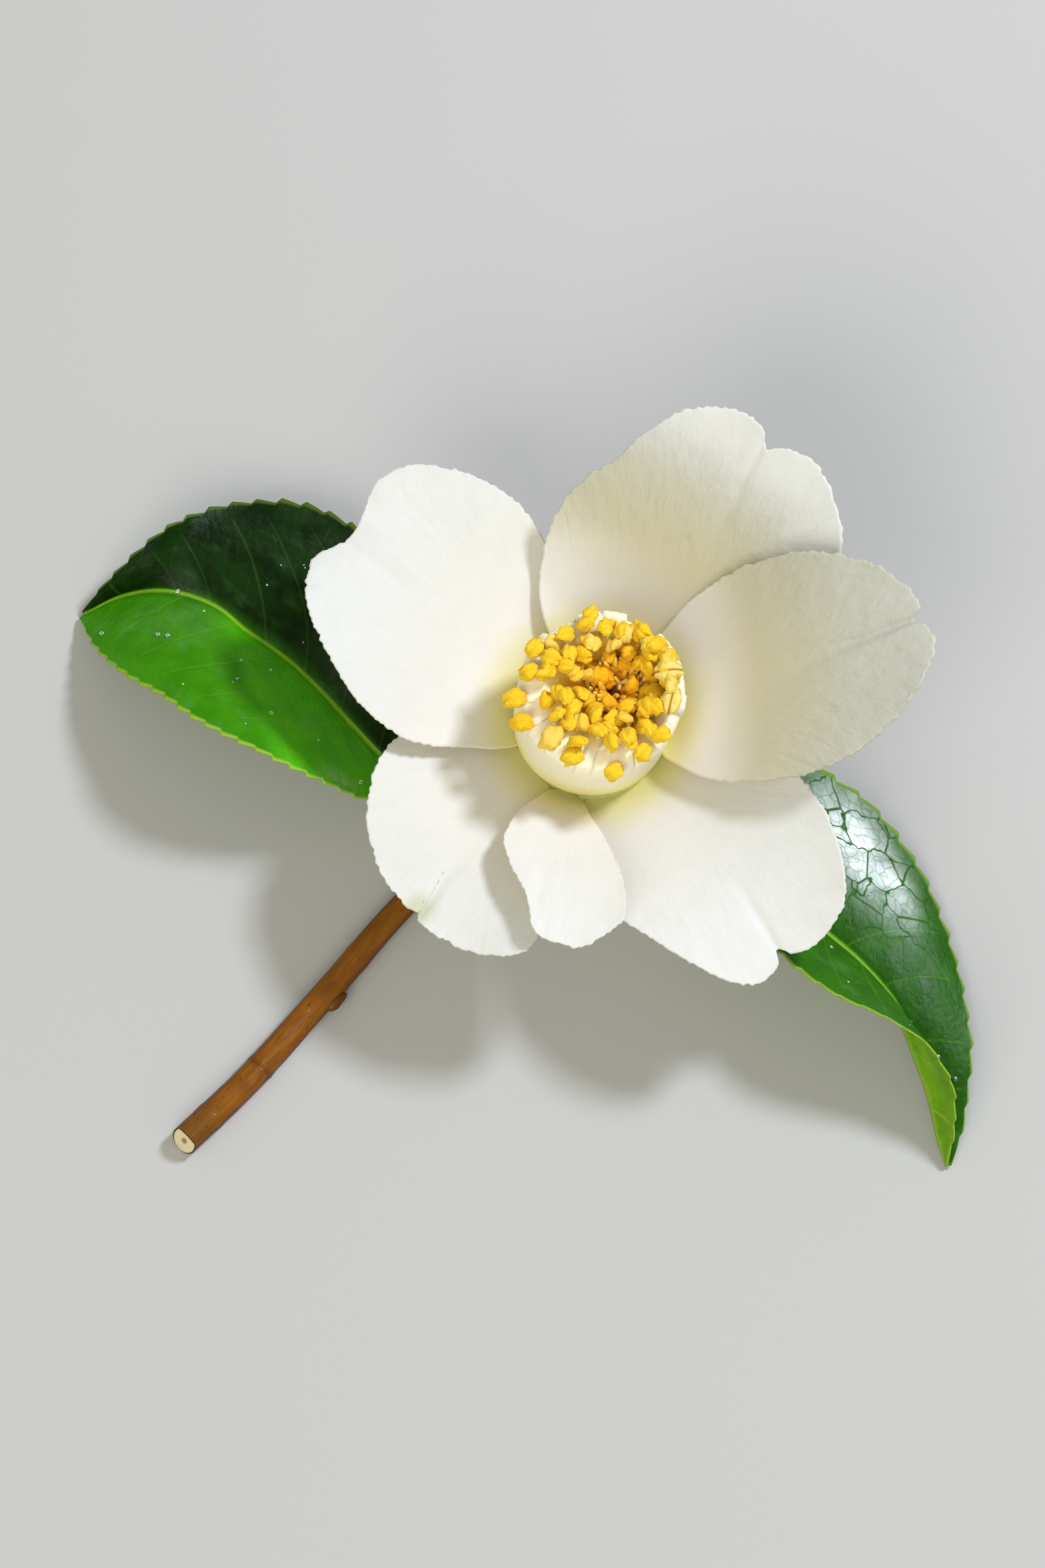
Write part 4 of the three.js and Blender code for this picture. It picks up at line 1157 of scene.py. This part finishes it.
def leaf_upper_skin():
    """Upper skin of a camellia leaf, grown: waxed, so glossy, and deep green with lighter veins."""
    m, node = new_material("waxy_green_leaf_top")
    rib, side_vein, net = leaf_vein_lines(node)
    grown = node("Attribute")
    rim = node("SeparateXYZ", grown, output=2)
    tone_and_painted_shade = node("Attribute", output="Fac", attribute_name="tone_and_painted_shade")
    film = node("Attribute", output="Fac", attribute_name="film")
    patches = node("MapRange", grain(node, grown, 3, 3), 0.35, 0.65)
    # Painted light and shade: each half is a dark or a bright copy of one green, by how the light
    # falls on it.
    dark = node("Mix", patches, 0x081E00, 0x0F2E02)
    base = node("Mix", tone_and_painted_shade, dark, node("Mix", patches, 0x48AA00, 0x54B608))
    bloom = node("MapRange", grain(node, grown, 1.8, 5, (1.6, 1, 1)), 0.52, 0.75, 0, 0.3)
    # The painted light also brightens the bloom, the side veins and the rim.
    light = node("MapRange", tone_and_painted_shade, 0, 0.4, 0.3, 1)
    base = node("Mix", node("Math MULTIPLY", bloom, light), base, 0x5F9450)
    faint = node("Math MULTIPLY", side_vein, 0.2)
    base = node("Mix", node("Math MULTIPLY", faint, light), base, 0x74AE28)
    base = node("Mix", rib, base, 0x8FC42A)
    rim = node("MapRange", rim, 0.97, 0.993, 0, 0.8)
    base = node("Mix", node("Math MULTIPLY", rim, light), base, 0xA4C440)
    dents = node("Math MULTIPLY", net, -0.05)
    dents = node("Math ADD", dents, node("Math MULTIPLY", side_vein, -0.15))
    relief = node("Math ADD", grain(node, grown, 0.7, 4), dents)
    bump = node("Bump", {"Height": relief, "Distance": 0.00014, "Strength": 0.8})
    wax = node("MapRange", grain(node, grown, 3, 2), 0.3, 0.7, 0.34, 0.44)
    creases = node("MapRange", grain(node, grown, 0.8, 5, (1, 2.2, 1)), 0.4, 0.6, 0.8, 1)
    shiny = node("Math MULTIPLY", film, creases)
    shiny = node("Math MULTIPLY", shiny, node("Math SUBTRACT", 1.0, net))
    skin = node("BsdfPrincipled", {
        "Base Color": base, "Roughness": wax, "IOR": 1.38, "Specular IOR Level": 0.18,
        "Coat Weight": shiny, "Coat Roughness": 0.4, "Coat IOR": 2.6, "Normal": bump,
    })
    glow = node("BsdfTranslucent", node("Mix", 0.6, base, 0x8CC818))
    node("OutputMaterial", node("MixShader", 0.12, skin, glow))
    return m


def leaf_lower_skin():
    """Lower skin of a camellia leaf, grown: matt, yellow green, with raised paler veins."""
    m, node = new_material("matt_green_leaf_underside")
    rib, side_vein, net = leaf_vein_lines(node)
    grown = node("Attribute")
    base = painted(node, 0x80BA10, (grain(node, grown, 4, 3), 0.35, 0.7, 0, 1, 0x6CA40C))
    base = node("Mix", node("Math MULTIPLY", net, 0.3), base, 0x4C7A1A)
    raised = node("Math MAXIMUM", node("Math MULTIPLY", side_vein, 0.6), rib)
    base = node("Mix", raised, base, 0xA6C24C)
    pores = grain(node, grown, 0.3, 2)
    bump = node("Bump", {"Height": pores, "Distance": 0.00005, "Strength": 0.5})
    skin = node("BsdfPrincipled", {
        "Base Color": base, "Roughness": 0.5, "IOR": 1.4, "Specular IOR Level": 0.3,
        "Normal": bump,
    })
    glow = node("BsdfTranslucent", 0xA6D030)
    node("OutputMaterial", node("MixShader", 0.22, skin, glow))
    return m


LEAF_SKINS = [leaf_upper_skin(), leaf_lower_skin()]


# %% The shape of a leaf
def leaf_place(lines, t, w):
    """A point of the upper skin, the way up from it, and the way from midrib to edge there.
    t runs from foot to tip, and w from -1 at the left edge to 1 at the right edge."""
    spine = lines["midrib"](t)
    edge = lines["left" if w < 0 else "right"](t)
    across = (edge - spine) * (-1 if w < 0 else 1)
    above = across.cross(ahead(lines["midrib"], t)).normalized()
    out = abs(w)
    bulge = LEAF_BULGE * 4 * out * (1 - out) * math.sin(math.pi * t)
    return spine.lerp(edge, out) + above * bulge, above, (edge - spine)


def leaf_veins(along, across, w):
    """How near the midrib is, the count of side veins so far, how freely they show, and the
    millimetres to the nearest of them."""
    off = abs(across)
    start = along - 0.5 * off - 0.025 * off * off + (2.6 if w < 0 else 0)
    phase = start / VEIN_PITCH + 0.35 * lumps(start / 9, 4 if w < 0 else 8, 0)
    apart = abs(phase - round(phase)) * VEIN_PITCH * 0.85
    inner = 1 - smooth(abs(w), 0.75, 0.93)
    return hump(off, 0.42), phase, inner, apart


def tooth(t, teeth):
    """How far the rim stands out, from 0 to about 1: a slow rise to the crest, a quick fall."""
    share = (t * teeth) % 1
    size = 0.8 + 0.5 * lumps(0.7 * math.floor(t * teeth), teeth, 2)
    return size * (share / TOOTH_CREST if share < TOOTH_CREST else (1 - share) / (1 - TOOTH_CREST))


# %% Grow the leaves
def add_blade(name, leaf):
    """Moves a grid onto the leaf's upper skin, with its veins, teeth, painted light and shade, and
    wax.
    """
    lines = leaf["lines"]
    teeth = round(lines["right"].length / TOOTH_PITCH)
    bm, grown, depth = sheet(teeth * TOOTH_POINTS, BLADE_ROWS)
    veins = bm.verts.layers.float_vector.new("veins")
    tone_and_painted_shade = bm.verts.layers.float.new("tone_and_painted_shade")
    film = bm.verts.layers.float.new("film")
    for vert in bm.verts:
        t, w = (vert.co.x + 1) / 2, -vert.co.y
        spot, above, half = leaf_place(lines, t, w)
        along, across = t * lines["midrib"].length, w * half.length
        rib, phase, inner, apart = leaf_veins(along, across, w)
        ends = min(1, 4 * math.sin(math.pi * t))
        body = ends * (1 - smooth(abs(w), 0.8, 1))
        lift = 0.07 * body * noise.noise(Vector((along, across, 7)) / 3)
        lift -= 0.03 * hump(apart, 0.8) * inner * body + 0.28 * rib * ends * (1 - 0.6 * t)
        toothed = half.normalized() * TOOTH_DEPTH * ends * tooth(t, teeth) * abs(w) ** 24
        spot += above * lift + toothed
        vert.co = spot * MM
        vert[grown] = (along, across, abs(w))
        vert[veins] = (rib * (1 - 0.45 * t), phase, inner)
        # Painted light and shade for each half, with painted light near the left leaf's foot
        # against the left petal's shadow.
        shade = lerp(*leaf["tone_and_painted_shade"], smooth(w, -0.12, 0.12))
        vert[tone_and_painted_shade] = shade + leaf["pale"] * (1 - smooth(t - 0.3 * w, 0.56, 0.7)) * (w < 0)
        stain = max(noise.noise(Vector((along, across, 31)) / 2.6), 0)
        patches = ((math.hypot(t - a, 0.45 * (w - b)), *rest) for a, b, *rest in leaf["film"])
        vert[film] = max(hump(off, spread) * much for off, spread, much in patches) + 0.035 * stain
        vert[depth][0] = max(lerp(0.34, 0.16, abs(w) ** 12), (1 - 0.7 * t) * hump(across, 0.7))
    piece_name = f"{name.removeprefix('leaf_')}_blade"
    add_piece(bm, piece_name, LEAF_SKINS, [name], BLADE_DEPTH)


def add_petiole(name, leaf, material):
    points = [Vector(p) for p in leaf["petiole"] + leaf["midrib"][:2]]
    points[-1].z -= 0.3
    line = line_through(points)

    def radius(share, angle):
        off = angle - math.pi / 2
        channel = 0.2 * hump(math.atan2(math.sin(off), math.cos(off)), 0.5)
        return lerp(*PETIOLE_RADIUS, share) * (1 - channel)

    bm = bmesh.new()
    add_tube(bm, line, 44, 20, radius)
    add_piece(bm, f"{name.removeprefix('leaf_')}_stalk", [material], [name])


stalk_flesh = green_flesh("yellow_green_stalk", 0xA9BE4E, 0x7F9C34, 0.4, 0.0)
for name, leaf in LEAVES.items():
    leaf["lines"] = {part: line_through(leaf[part]) for part in ("midrib", "left", "right")}
    add_blade(name, leaf)
    add_petiole(name, leaf, stalk_flesh)

# %% [markdown]
# ## Water
# A few tiny drops from the last watering sit on the leaves and catch the light. Each is a small
# sphere pressed flat against the skin. So thin a film of water hardly bends light, so it is made
# see-through, with a share of gloss for its glint.


# %% Sprinkle the drops
def add_drops():
    water, node = new_material("clear_water_drops")
    shine = node("BsdfGlossy", {"Color": (1, 1, 1, 1), "Roughness": 0.25})
    node("OutputMaterial", node("MixShader", 0.22, node("BsdfTransparent"), shine))
    rng = random.Random(21)
    bm = bmesh.new()
    for leaf in LEAVES.values():
        for _ in range(DROPS_PER_LEAF):
            t, w = rng.uniform(0.15, 0.9), rng.uniform(-0.9, 0.9)
            spot, above, _ = leaf_place(leaf["lines"], t, w)
            size = rng.choice([0.12, 0.14, 0.18, 0.22, 0.34])
            flat = above.to_track_quat("Z", "Y").to_matrix()
            ball = bmesh.ops.create_uvsphere(bm, u_segments=14, v_segments=8, radius=1)
            for vert in ball["verts"]:
                local = Vector((vert.co.x, vert.co.y, vert.co.z * 0.55)) * size
                vert.co = (spot + above * 0.12 + flat @ local) * MM
    add_piece(bm, "water_drops", [water], [])


add_drops()

# %% [markdown]
# ## The surface it lies on

# %% Floor
floor_bm = bmesh.new()
bmesh.ops.create_grid(floor_bm, x_segments=1, y_segments=1, size=1.5)
floor_mesh = bpy.data.meshes.new("floor")
floor_bm.to_mesh(floor_mesh)
floor_bm.free()
floor = bpy.data.objects.new("floor", floor_mesh)
paper, node = new_material("matt_backdrop_paper")
node("OutputMaterial", node("BsdfPrincipled", {"Base Color": 0xB9B8B6, "Roughness": 0.8}))
floor.data.materials.append(paper)
bpy.context.scene.collection.objects.link(floor)
